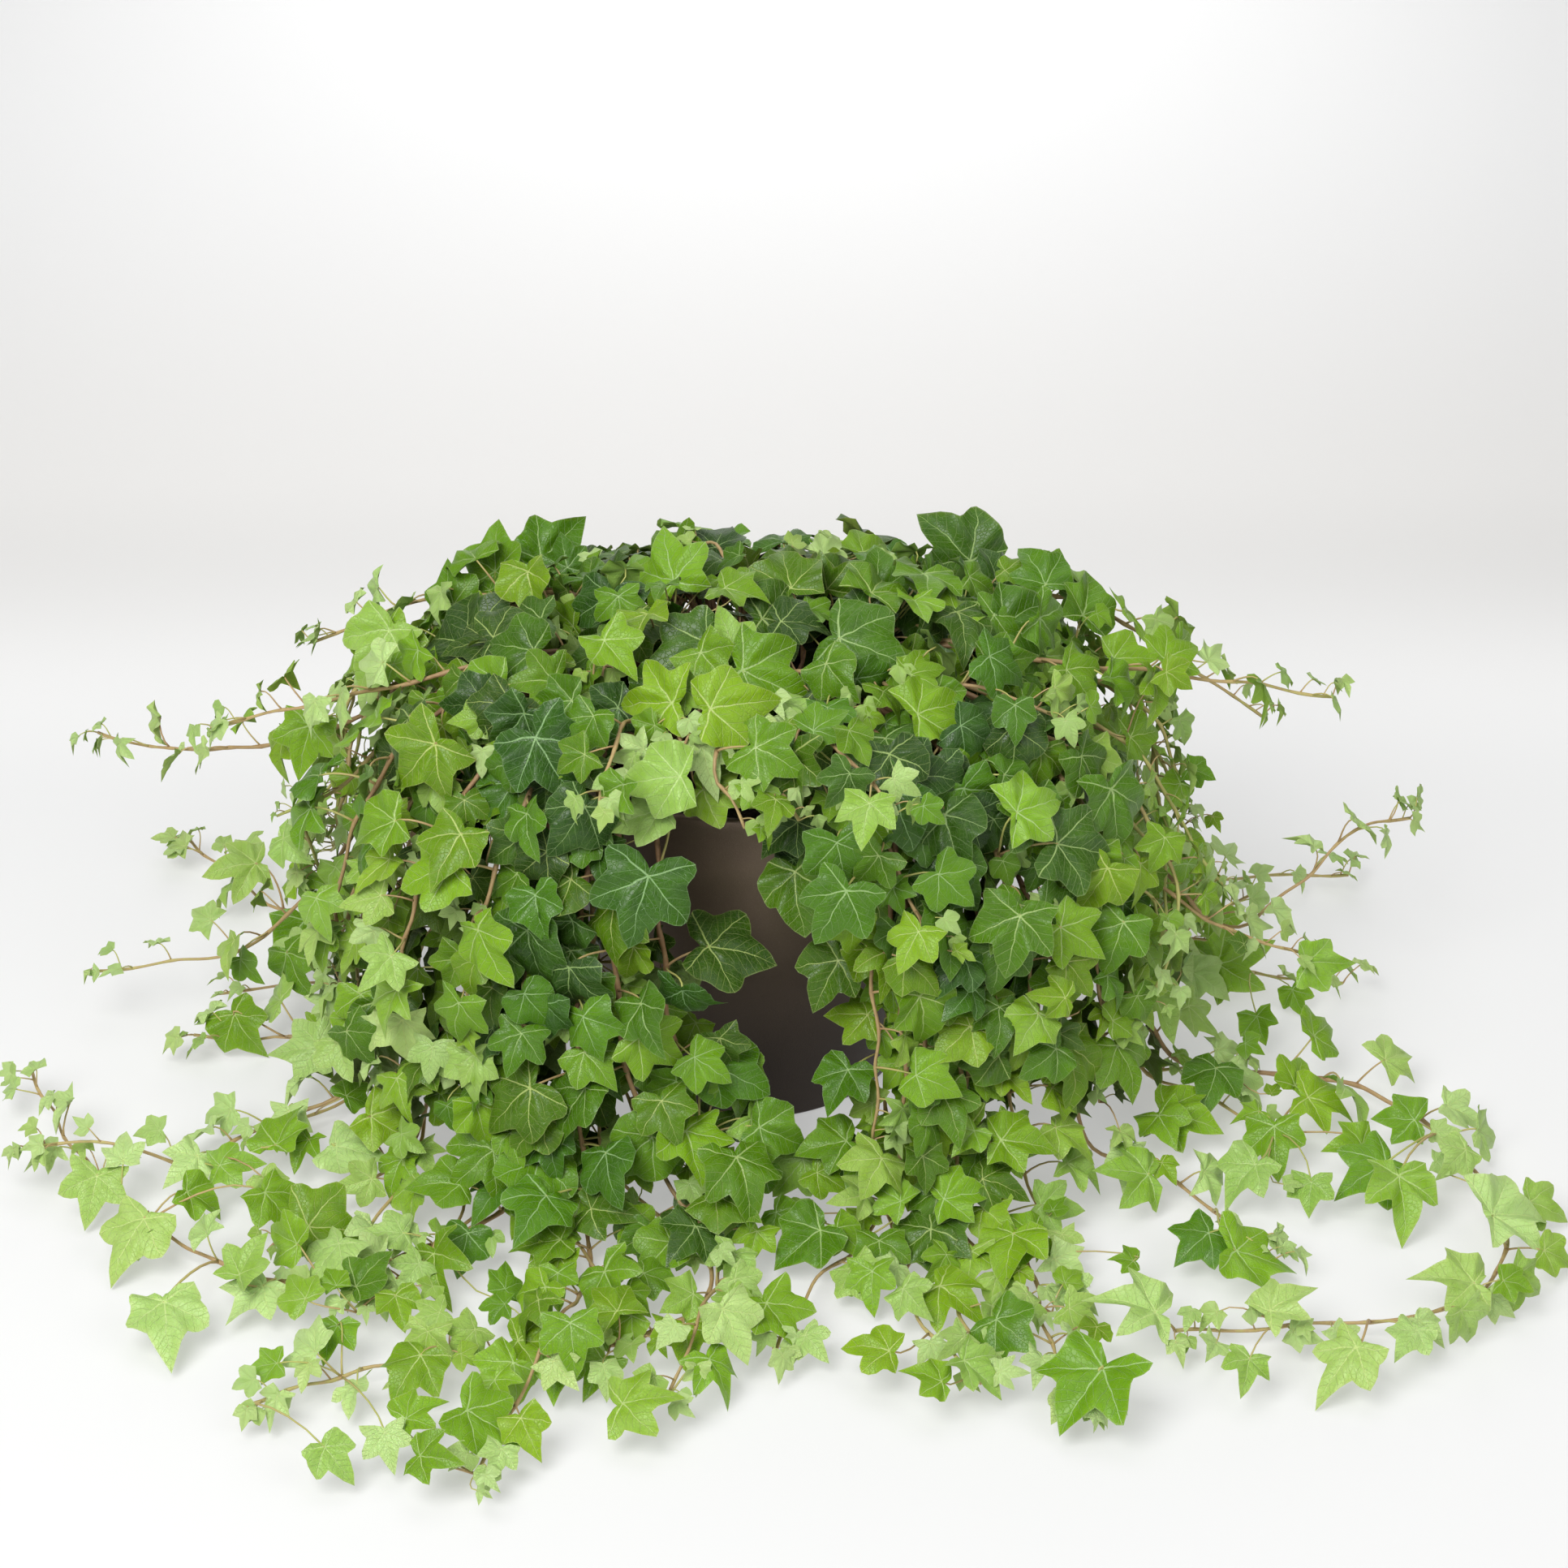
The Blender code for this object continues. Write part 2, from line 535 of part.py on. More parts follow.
def main():
    for old in list(bpy.data.objects):
        bpy.data.objects.remove(old)
    collection = bpy.data.collections.new("potted_ivy")
    cutters = bpy.data.collections.new("cutters")
    leaf_collection = bpy.data.collections.new("leaves_to_join")
    for made in (collection, cutters, leaf_collection):
        bpy.context.scene.collection.children.link(made)
    plants = grow()
    planter(collection)
    soil(collection, cutters, plants)
    finish = material("ivy_leaf", (0.10, 0.24, 0.05), 0.45)
    for plant in plants:
        vine_object(plant, collection, leaf_collection, finish)
    bpy.data.collections.remove(leaf_collection)


main()
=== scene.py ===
"""Potted ivy, dressed: a satin metallic planter, crumbly potting soil, and ivy vines with lobed, veined
leaves that mound over the rim, hang down all round and run out along the floor.

Metres, +Z up. The origin is the centre of the planter's foot, on the floor. The front is -Y.
"""

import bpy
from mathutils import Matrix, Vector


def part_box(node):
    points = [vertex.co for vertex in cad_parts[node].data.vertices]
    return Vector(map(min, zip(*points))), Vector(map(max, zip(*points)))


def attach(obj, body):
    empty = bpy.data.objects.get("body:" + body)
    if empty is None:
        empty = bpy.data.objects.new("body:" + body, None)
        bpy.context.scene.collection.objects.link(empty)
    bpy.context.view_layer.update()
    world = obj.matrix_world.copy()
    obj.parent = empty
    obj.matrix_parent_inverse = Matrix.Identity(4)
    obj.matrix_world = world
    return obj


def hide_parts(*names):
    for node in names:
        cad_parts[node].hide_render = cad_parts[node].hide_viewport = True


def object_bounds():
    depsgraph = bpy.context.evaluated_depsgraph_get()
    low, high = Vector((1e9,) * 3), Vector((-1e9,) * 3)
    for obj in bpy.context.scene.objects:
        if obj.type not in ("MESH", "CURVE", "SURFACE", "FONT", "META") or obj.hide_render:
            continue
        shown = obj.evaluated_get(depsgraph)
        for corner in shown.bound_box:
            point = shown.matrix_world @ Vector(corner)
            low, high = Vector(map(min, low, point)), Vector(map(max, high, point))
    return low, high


bl_info = {
    "name": "Potted Ivy",
    "version": (1, 0, 0),
    "blender": (4, 5, 0),
    "location": "3D View > Sidebar > Ivy",
    "description": "Trailing ivy in a round tapered planter, on a plain pale stage",
    "category": "Object",
}

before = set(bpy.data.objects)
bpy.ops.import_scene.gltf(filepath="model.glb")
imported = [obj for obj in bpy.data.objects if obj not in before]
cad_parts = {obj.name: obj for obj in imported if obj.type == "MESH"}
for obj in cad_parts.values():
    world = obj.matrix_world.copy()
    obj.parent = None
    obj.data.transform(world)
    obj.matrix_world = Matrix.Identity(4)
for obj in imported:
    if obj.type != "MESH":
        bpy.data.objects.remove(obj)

import functools
import math

import bpy
import numpy as np
from bpy.props import FloatProperty, FloatVectorProperty, IntProperty, PointerProperty
from mathutils.bvhtree import BVHTree
from numpy.linalg import norm

CAD_BOX = [list(corner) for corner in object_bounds()]
PLANTER_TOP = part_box("planter")[1]

# Planter and soil, in step with the frame's own pieces
POT_HEIGHT = 0.245
RIM_RADIUS = 0.132
FOOT_RADIUS = 0.104
WALL = 0.005
FOOT_THICKNESS = 0.006
FOOT_ROUND = 0.003
SOIL_TOP = 0.226
SOIL_CROWN = 0.003
GAP = 0.0003
HOLE_DEPTH = 0.022

# Stems
STEM_RADIUS = 0.0022
STEM_TIP_RADIUS = 0.0013
STEM_STEP = 0.060
ROOT_TO_FIRST_LEAF = 0.045

# Leaves: a size is the length from the petiole's point to the tip of the middle lobe. Each leaf has
# eleven draws from -1 to 1: 0 depth of notches, 1 lopsidedness, 2 droop, 3 fold, 4 phase of its waves,
# 5 lean and 6 length of its petiole, 7 and 8 turn of its face, 9 side to which its tip falls, 10 size.
# Finer leaves also fold by draw 5, curl by draw 6, twist by draw 8 and vary their side lobes by draw 9.
LEAF_PITCH = 0.049
LEAF_SCALE = 0.87
PETIOLE_RADIUS = 0.0009
SMALL_LEAF = 0.030
TINY_LEAF = 0.019
FLOOR_CLEARANCE = 0.0012
LEAF_TRIES = 12
TEST_LEAF_GROWTH = 1.04
TEST_HALF_THICKNESS = 0.0022
TEST_STEM_GROWTH = 0.0008
STEM_TURNS = (0, 3, -3, 6, -6, 9, -9, 12, -12)

# Leaf sizes along a vine, as shares of its length and of its own leaf size
SIZES_ALONG = ((0, 0.3, 0.6, 0.85, 1), (0.85, 1.0, 0.92, 0.62, 0.40))
FINE_SIZES_ALONG = ((0, 0.3, 0.6, 0.9, 1), (0.85, 1.0, 0.95, 0.75, 0.40))

# Tries at one place: how far sizes spread, how much each try shrinks, from which one on and how much
# wilder the pose is, and the least share of a petiole's length by which it comes from behind its blade
SIZE_SPREAD = 0.20
FINE_SIZE_SPREAD = 0.22
TRY_SHRINK = 0.02
WILD_FROM = 6
WILD = 1.8
BEHIND = 0.3
FINE_BEHIND = 0.2

# The front of the planter stays bare inside this slanting band, seen from the front and above
BARE_START = np.array([-0.040, 0.222])
BARE_END = np.array([0.056, 0.056])
BARE_HALF_WIDTH = 0.031
BARE_BEHIND_Y = -0.05
FRONT_FACE_Y = -0.118
VIEW_SLOPE = math.tan(math.radians(30))

UP = np.array([0.0, 0.0, 1.0])

# Leaf outline: angle from the tip in degrees, and distance from the petiole's point over the leaf's size
FIVE_LOBES = ((0, 1.0), (28, 0.58), (53, 0.80), (87, 0.55), (119, 0.62), (180, 0.14))
SMALL_LOBES = ((0, 1.0), (30, 0.58), (58, 0.78), (122, 0.54), (180, 0.15))
TINY_LOBES = ((0, 1.0), (34, 0.56), (72, 0.72), (180, 0.16))
NOTCHES = (28, 30, 34, 87)
NOTCH_SPREAD = 0.10

# Vines that reach the floor: name, leaf size, lift over the rim, and points as azimuth in
# degrees (0 in front, 90 to the right), distance from the planter's axis, and height
RUNNERS = (
    ("runner_left_long", 0.040, 0.010, (
        (-37, 0.190, 0.245), (-36, 0.224, 0.120), (-34, 0.254, 0.022), (-38, 0.330, 0.012),
        (-43, 0.400, 0.012), (-54, 0.432, 0.013), (-69, 0.457, 0.015), (-80, 0.478, 0.022))),
    ("runner_left", 0.038, 0.004, (
        (-64, 0.205, 0.245), (-68, 0.252, 0.120), (-70, 0.278, 0.022), (-68, 0.340, 0.012),
        (-64, 0.395, 0.014), (-66, 0.440, 0.036), (-69, 0.490, 0.030))),
    ("runner_front_loop", 0.040, 0.014, (
        (-26, 0.176, 0.240), (-22, 0.206, 0.130), (-13, 0.226, 0.045), (-6, 0.252, 0.016), (-4, 0.304, 0.012),
        (-11, 0.355, 0.012), (-23, 0.390, 0.012), (-31, 0.440, 0.012), (-35, 0.498, 0.014))),
    ("runner_front_left", 0.044, 0.002, (
        (-31, 0.184, 0.242), (-28, 0.220, 0.110), (-23, 0.250, 0.020), (-18, 0.312, 0.012),
        (-17, 0.372, 0.036), (-18, 0.430, 0.013), (-18, 0.492, 0.013))),
    ("runner_front", 0.042, 0.020, (
        (-21, 0.172, 0.236), (-16, 0.196, 0.120), (-9, 0.216, 0.040), (-7, 0.244, 0.015), (-6, 0.292, 0.013),
        (-7, 0.350, 0.036), (-9, 0.408, 0.014))),
    ("runner_front_right", 0.044, 0.006, (
        (30, 0.166, 0.235), (30, 0.180, 0.130), (27, 0.196, 0.040), (22, 0.236, 0.013),
        (20, 0.285, 0.012), (18, 0.350, 0.012), (20, 0.412, 0.013))),
    ("runner_right_front", 0.046, 0.014, (
        (39, 0.180, 0.240), (40, 0.214, 0.110), (39, 0.246, 0.020), (34, 0.310, 0.012),
        (28, 0.388, 0.012), (25, 0.458, 0.014))),
    ("runner_right_long", 0.042, 0.008, (
        (75, 0.205, 0.245), (77, 0.252, 0.120), (78, 0.286, 0.022), (79, 0.352, 0.012),
        (78, 0.420, 0.012), (70, 0.490, 0.012), (61, 0.538, 0.012), (53, 0.530, 0.012),
        (45, 0.472, 0.012), (37, 0.428, 0.013))),
    ("runner_right", 0.042, 0.012, (
        (53, 0.195, 0.245), (55, 0.236, 0.120), (55, 0.266, 0.022), (56, 0.322, 0.012),
        (53, 0.372, 0.012), (50, 0.425, 0.014))),
    ("runner_right_back", 0.040, 0.004, (
        (100, 0.205, 0.245), (101, 0.254, 0.120), (101, 0.290, 0.022), (99, 0.352, 0.012),
        (95, 0.412, 0.016))),
)

# Thin shoots that stand out of the mound at its sides, in the same form
SHOOTS = (
    ("shoot_left_low", 0.032, 0.012, (
        (-91, 0.200, 0.262), (-91, 0.262, 0.150), (-91, 0.330, 0.070), (-92, 0.390, 0.048),
        (-92, 0.440, 0.040))),
    ("shoot_left_middle", 0.034, 0.022, (
        (-103, 0.200, 0.272), (-104, 0.272, 0.206), (-105, 0.350, 0.172), (-107, 0.430, 0.152),
        (-109, 0.480, 0.146))),
    ("shoot_left_high", 0.036, 0.030, (
        (-82, 0.190, 0.292), (-86, 0.246, 0.272), (-90, 0.300, 0.250), (-92, 0.345, 0.232))),
    ("shoot_left_top", 0.034, 0.036, (
        (-114, 0.170, 0.298), (-112, 0.216, 0.292), (-110, 0.264, 0.272), (-109, 0.308, 0.246))),
    ("shoot_right_low", 0.036, 0.016, (
        (88, 0.200, 0.262), (90, 0.262, 0.150), (92, 0.322, 0.078), (95, 0.372, 0.098),
        (98, 0.420, 0.128), (101, 0.462, 0.116))),
    ("shoot_right_middle", 0.034, 0.024, (
        (66, 0.192, 0.276), (69, 0.250, 0.206), (72, 0.306, 0.152), (76, 0.368, 0.120))),
    ("shoot_right_high", 0.036, 0.034, (
        (82, 0.186, 0.300), (85, 0.246, 0.292), (87, 0.312, 0.280), (89, 0.376, 0.264))),
    ("shoot_right_top", 0.034, 0.028, (
        (110, 0.186, 0.302), (108, 0.238, 0.290), (105, 0.300, 0.244), (102, 0.354, 0.204))),
)

# Vines that hang beside the planter and end above the floor: azimuth, reach, and height of the end
CURTAINS = (
    ("curtain_left_front", 0.044, -44, 0.245, 0.085),
    ("curtain_left", 0.046, -55, 0.258, 0.050),
    ("curtain_left_side", 0.044, -76, 0.268, 0.060),
    ("curtain_right_front", 0.044, 46, 0.244, 0.070),
    ("curtain_right", 0.044, 61, 0.256, 0.060),
    ("curtain_front_left", 0.046, -29, 0.200, 0.120),
)

# The back is like the front: runners and hanging vines by turns
BACK_FIRST = 116
BACK_LAST = 244
BACK_VINES = 9
BACK_REACH = (0.47, 0.262)

# Crown stems arch over the soil: azimuth of each ring's first stem, count, and reach and height where
# the mound is highest and where it is lowest, which is at the back and a little to the left
LOW_SIDE = 200
CROWN_RINGS = (("crown", 0.045, 12, 8, (0.225, 0.160), (0.306, 0.282)),
               ("crown_inner", 0.022, 20, 3, (0.125, 0.115), (0.312, 0.298)))
FRONT_SPRAY = ("front_spray", 0.044, 0, ((-12, 0.104, 0.305), (-18, 0.135, 0.300), (-22, 0.158, 0.280)))

# Finer foliage between the frame's own vines. Sectors name the pieces that hold it. Degrees either
# side of the front with shorter vines, the leaves' and the stems' pitch, and how many vines of each kind
SECTORS = ("front", "front_right", "right", "back_right", "back", "back_left", "left", "front_left")
FRONT_SECTOR = 30
FINE_PITCH = 0.023
FINE_STEP = 0.007
MOUND_VINES = 26
HANGING_VINES = 30
SKIRT_VINES = 22
FRINGE_VINES = 18
ARCH_VINES = 10

# New leaves round a vine's tip: how far back, and their share of the vine's leaf size
TIP_TUFT = ((0.004, 0.30), (0.011, 0.36), (0.020, 0.42))

# Finer leaves: half the thickness and the share of a blade that keep clear of others, the share of the
# bare band that stays free, how far they may rise over the frame's box, how loosely they turn, how much
# larger they are on the floor, and the shares of them left out at the sides and on the floor
FINE_HALF_THICKNESS = 0.0006
FINE_GROWTH = 0.86
FINE_BARE_SHARE = 1.05
FINE_OVER_TOP = 0.008
FINE_LOOSENESS = 1.5
FLOOR_GROWTH = 1.14
SIDE_THIN = 0.30
FLOOR_THIN = 0.22

# Rows of the photograph above which no finer leaf rises, and no single one
TOP_LINE = 668
TOP_TIPS = 622

# A leaf's age high in the mound, what its vine's end takes off, the left and the right side, and the
# floor, as a fixed part and a part that grows away from the axis, and what its own draw changes
AGE_HIGH = 0.88
AGE_OFF_TIP = 0.50
AGE_OFF_SIDES = (0.28, 0.16)
AGE_OFF_FLOOR = (0.08, 0.32)
AGE_DRAW = 0.27

# Finer vines in front, in the same form as the runners: beside the bare band, and below it
FRONT_INFILL = (
    ("hang_a", 0.044, 0.016, ((-28, 0.168, 0.244), (-27, 0.176, 0.150), (-25, 0.192, 0.060))),
    ("hang_b", 0.046, 0.004, ((-38, 0.172, 0.244), (-38, 0.182, 0.160), (-37, 0.200, 0.060))),
    ("hang_c", 0.042, 0.012, ((-48, 0.176, 0.244), (-50, 0.190, 0.150), (-50, 0.208, 0.050))),
    ("hang_d", 0.036, 0.006, (
        (-23, 0.158, 0.250), (-22, 0.166, 0.170), (-15, 0.180, 0.090), (-8, 0.196, 0.040))),
    ("hang_e", 0.040, 0.004, (
        (12, 0.156, 0.252), (16, 0.162, 0.190), (24, 0.178, 0.120), (30, 0.194, 0.050))),
    ("hang_f", 0.044, 0.016, (
        (20, 0.164, 0.250), (24, 0.172, 0.180), (30, 0.186, 0.100), (34, 0.206, 0.040))),
    ("hang_g", 0.046, 0.008, ((34, 0.170, 0.246), (36, 0.184, 0.160), (38, 0.204, 0.070))),
    ("hang_h", 0.042, 0.020, ((46, 0.176, 0.248), (48, 0.192, 0.160), (48, 0.212, 0.060))),
    ("front_a", 0.036, 0.010, (
        (-30, 0.182, 0.242), (-29, 0.212, 0.110), (-24, 0.234, 0.022), (-12, 0.268, 0.013),
        (-3, 0.312, 0.013), (0, 0.366, 0.013))),
    ("front_b", 0.038, 0.018, (
        (-35, 0.188, 0.242), (-35, 0.224, 0.110), (-31, 0.256, 0.022), (-24, 0.318, 0.013),
        (-25, 0.384, 0.013))),
    ("front_c", 0.036, 0.006, (
        (25, 0.176, 0.242), (25, 0.204, 0.110), (18, 0.224, 0.022), (6, 0.256, 0.013), (-4, 0.300, 0.013),
        (-8, 0.346, 0.013))),
    ("front_d", 0.038, 0.014, (
        (33, 0.186, 0.242), (33, 0.218, 0.110), (27, 0.246, 0.022), (14, 0.300, 0.013), (9, 0.362, 0.013))),
    ("front_e", 0.036, 0.022, (
        (42, 0.190, 0.242), (42, 0.228, 0.110), (37, 0.258, 0.022), (29, 0.330, 0.013),
        (27, 0.396, 0.013))),
    ("front_f", 0.034, 0.014, (
        (-20, 0.170, 0.242), (-18, 0.196, 0.120), (-12, 0.212, 0.030), (0, 0.236, 0.013),
        (8, 0.280, 0.013))),
    ("front_g", 0.036, 0.010, (
        (-46, 0.190, 0.242), (-46, 0.228, 0.110), (-42, 0.258, 0.022), (-33, 0.330, 0.013),
        (-31, 0.410, 0.013))),
)

# The mound's skin in section, as distance from the axis and height: in front, and elsewhere
FRONT_SKIN = ((0.0, 0.332), (0.055, 0.334), (0.100, 0.318), (0.136, 0.290), (0.158, 0.256), (0.172, 0.210),
              (0.184, 0.160), (0.198, 0.105), (0.216, 0.055), (0.240, 0.020))
ROUND_SKIN = ((0.0, 0.335), (0.060, 0.337), (0.105, 0.326), (0.152, 0.303), (0.196, 0.272), (0.230, 0.234),
              (0.252, 0.190), (0.264, 0.140), (0.274, 0.090), (0.290, 0.045))
SKIN_FOOT = 0.026
SKIN_REACH = 0.24
# Degrees from the front over which one section turns into the other
SKIN_MIX = (25, 55)
# Leaves spread over the skin: pitch, sizes at draws from -1 to 1, share of places left open at the
# sides, how loosely they turn in front and what the sides add, and tries at one place
SKIN_PITCH = 0.027
SKIN_LEAF = ((-1, 0.2, 1), (0.020, 0.031, 0.040))
SKIN_OPEN = 0.55
SKIN_LOOSENESS = (1.7, 0.6)
SKIN_TRIES = 8
LONGEST_PETIOLE = 0.085

# The camera, as the photograph was taken
CAMERA_TARGET = np.array([0.0244, 0.0, 0.195])
CAMERA_ELEVATION = 30
CAMERA_DISTANCE = 2.4
CAMERA_LENS = 84.13
CAMERA_SENSOR = 36
IMAGE_SIDE = 1932
FOCAL = CAMERA_LENS / CAMERA_SENSOR * IMAGE_SIDE

# Single leaves that stand out in front, in pixels of the photograph: where the petiole meets the blade,
# and how far right and down its tip lies. Then age in percent, and degrees turned up from the camera.
FACE_LEAVES = (
    (830, 867, -82, -5, 22, 0), (876, 875, 90, -18, 26, 10), (840, 957, -84, 5, 18, 0),
    (815, 998, -80, 12, 10, 40), (866, 972, 74, 20, 15, 20), (917, 827, 94, 38, 55, 10),
    (905, 800, -25, -58, 20, 0), (938, 763, 86, -5, 85, 20), (1034, 773, 87, 38, 80, 0),
    (1134, 745, -8, 75, 90, 20), (870, 781, -83, 43, 85, 0), (753, 735, -17, 76, 100, 0),
    (665, 911, 48, 74, 100, -10), (718, 1018, -20, 90, 95, 0), (801, 1077, -21, 91, 95, -5),
    (680, 1059, -63, 60, 70, 0), (872, 1166, 86, 10, 90, 55), (1078, 1094, -49, 46, 60, 0),
    (1034, 1183, -34, 62, 80, 15), (1131, 1222, 67, 61, 85, 0), (1070, 1250, -60, -12, 40, 30),
    (1045, 1318, -23, 58, 75, 48), (880, 1312, 70, 36, 75, 15), (935, 1388, 65, 27, 62, 20),
    (805, 1385, 89, 15, 55, 30), (1101, 977, -54, 74, 95, 0), (1114, 952, 79, -5, 100, 20),
    (1249, 1000, 71, -26, 30, 0), (1290, 868, 22, 70, 100, 0), (1245, 897, 2, 65, 95, 0),
    (1226, 781, 79, 33, 80, 0), (584, 796, -39, -84, 95, 0), (614, 788, 71, -20, 90, 20),
    (718, 1168, -18, 58, 90, 0), (726, 1232, -46, 58, 90, 10), (731, 1344, -36, 58, 75, 0),
    (1287, 1122, 56, 28, 75, 0), (1130, 880, 70, -35, 35, 30), (1165, 1060, 35, 60, 80, 0),
    (1010, 915, 42, -30, 60, 0), (1230, 1160, -8, 65, 80, 0), (835, 705, -27, -73, 40, -10),
    (865, 722, 3, -67, 45, -10), (668, 690, 57, -56, 70, -20), (1195, 690, -59, -58, 85, -15),
    (1285, 722, -23, -60, 70, 0), (612, 706, -5, -66, 55, 0), (560, 745, -15, -55, 60, -20),
    (930, 712, 15, -57, 65, -30), (1080, 728, 8, -60, 75, -20), (1330, 760, 25, -60, 60, 0),
    (700, 700, -10, -45, 80, -10), (1010, 715, -10, -47, 70, -30),
)
# The same below the mound's middle and at its sides, without the last value
SIDE_LEAVES = (
    (481, 776, -38, 73, 15), (467, 872, -12, 33, 10), (382, 897, -18, 68, 30), (491, 820, 25, 29, 35),
    (480, 800, 47, 60, 32), (547, 893, 24, 64, 35), (539, 961, 20, 48, 12), (551, 941, -24, 36, 20),
    (635, 1004, 15, 38, 70), (434, 957, -22, 28, 30), (451, 1013, 12, 30, 35), (350, 1033, 42, 28, 12),
    (325, 1062, -63, 16, 15), (483, 1061, -4, 38, 12), (567, 1178, -20, 52, 52), (491, 1174, -40, 44, 10),
    (479, 1134, -31, 26, 35), (463, 1234, 60, 56, 75), (435, 1266, 36, 44, 70), (382, 1294, 32, 32, 80),
    (298, 1182, 28, 30, 50), (354, 1174, 28, 60, 55), (290, 1250, 38, 52, 50), (386, 1142, 16, 64, 60),
    (431, 1162, 28, 30, 70), (623, 1182, 53, 48, 75), (583, 1081, 28, 37, 80), (515, 1045, 32, 29, 85),
    (531, 1094, 36, -18, 10), (585, 1299, 0, 63, 10), (646, 1310, 0, 32, 42), (768, 1200, -18, -20, 15),
    (768, 1202, 19, -18, 15), (772, 1214, 43, 10, 20), (762, 1216, -28, 8, 20), (773, 1266, -5, 30, 15),
    (809, 1239, 23, 51, 50), (799, 1310, 63, 12, 65), (761, 1336, 25, -14, 20), (738, 1140, -57, 10, 85),
    (659, 1109, 17, 61, 80), (648, 1252, -8, 28, 70), (655, 1405, -39, 15, 30), (643, 1369, 21, 17, 25),
    (608, 1295, -10, 27, 65), (623, 1328, 11, 22, 80), (587, 1359, 18, 57, 30), (551, 1362, 6, 36, 65),
    (490, 1328, 21, 54, 20), (495, 1397, 33, 21, 20), (980, 1075, 12, 77, 75), (1043, 1082, -32, 53, 85),
    (1107, 1062, -1, -34, 35), (1097, 1205, -39, 38, 40), (1097, 1245, 33, -13, 35),
    (1086, 1274, 6, 35, 35), (1113, 1309, -25, 36, 30), (1075, 1360, -37, -20, 10), (1080, 1379, 0, 33, 30),
    (1126, 1116, 64, 17, 80), (1148, 1146, 58, 10, 85), (1110, 1165, 38, -19, 30), (1158, 1175, 30, -7, 30),
    (1248, 1120, -18, 77, 70), (1252, 1050, -6, 34, 12), (1233, 1060, 13, 33, 60),
    (1281, 1066, -13, 36, 85), (1193, 1041, -41, 19, 30), (1236, 1248, 5, 65, 55),
    (1308, 1226, -48, -5, 35), (1311, 1218, 27, -18, 35), (1300, 1290, -50, 35, 70),
    (1196, 1384, -66, -8, 45), (1182, 1333, 32, 17, 50), (1228, 1298, -65, 1, 75), (1131, 1395, 12, 29, 85),
    (1217, 1180, -16, 34, 85), (1305, 1272, 31, 20, 80), (1016, 1036, -2, 32, 25), (1372, 812, 56, -2, 28),
    (1432, 814, 53, -34, 30), (1430, 830, 34, 20, 35), (1392, 908, 54, -10, 50), (1374, 906, -54, -4, 22),
    (1391, 848, -38, -2, 60), (1427, 846, 30, 16, 50), (1453, 966, -33, 36, 42), (1354, 988, -8, 62, 72),
    (1459, 1064, 71, -14, 20), (1474, 1111, -36, 35, 15), (1499, 1225, 69, -30, 33),
    (1588, 1225, 14, 32, 45), (1548, 1252, 12, 36, 50), (1369, 1256, 47, -13, 35),
    (1392, 1167, -42, 27, 50), (1414, 1167, 14, 41, 55), (1418, 1073, -23, 32, 60), (1369, 1055, 5, 49, 75),
    (1383, 1113, -10, 58, 75), (1530, 1283, 23, 14, 50), (1316, 716, 27, -10, 50), (1329, 743, -4, 45, 75),
    (1351, 756, 24, 14, 40), (1298, 694, -15, -26, 60), (1467, 948, 33, 9, 55), (1494, 1006, 10, 20, 30),
    (1610, 1185, 58, 1, 25), (1530, 1162, -25, -4, 75),
)
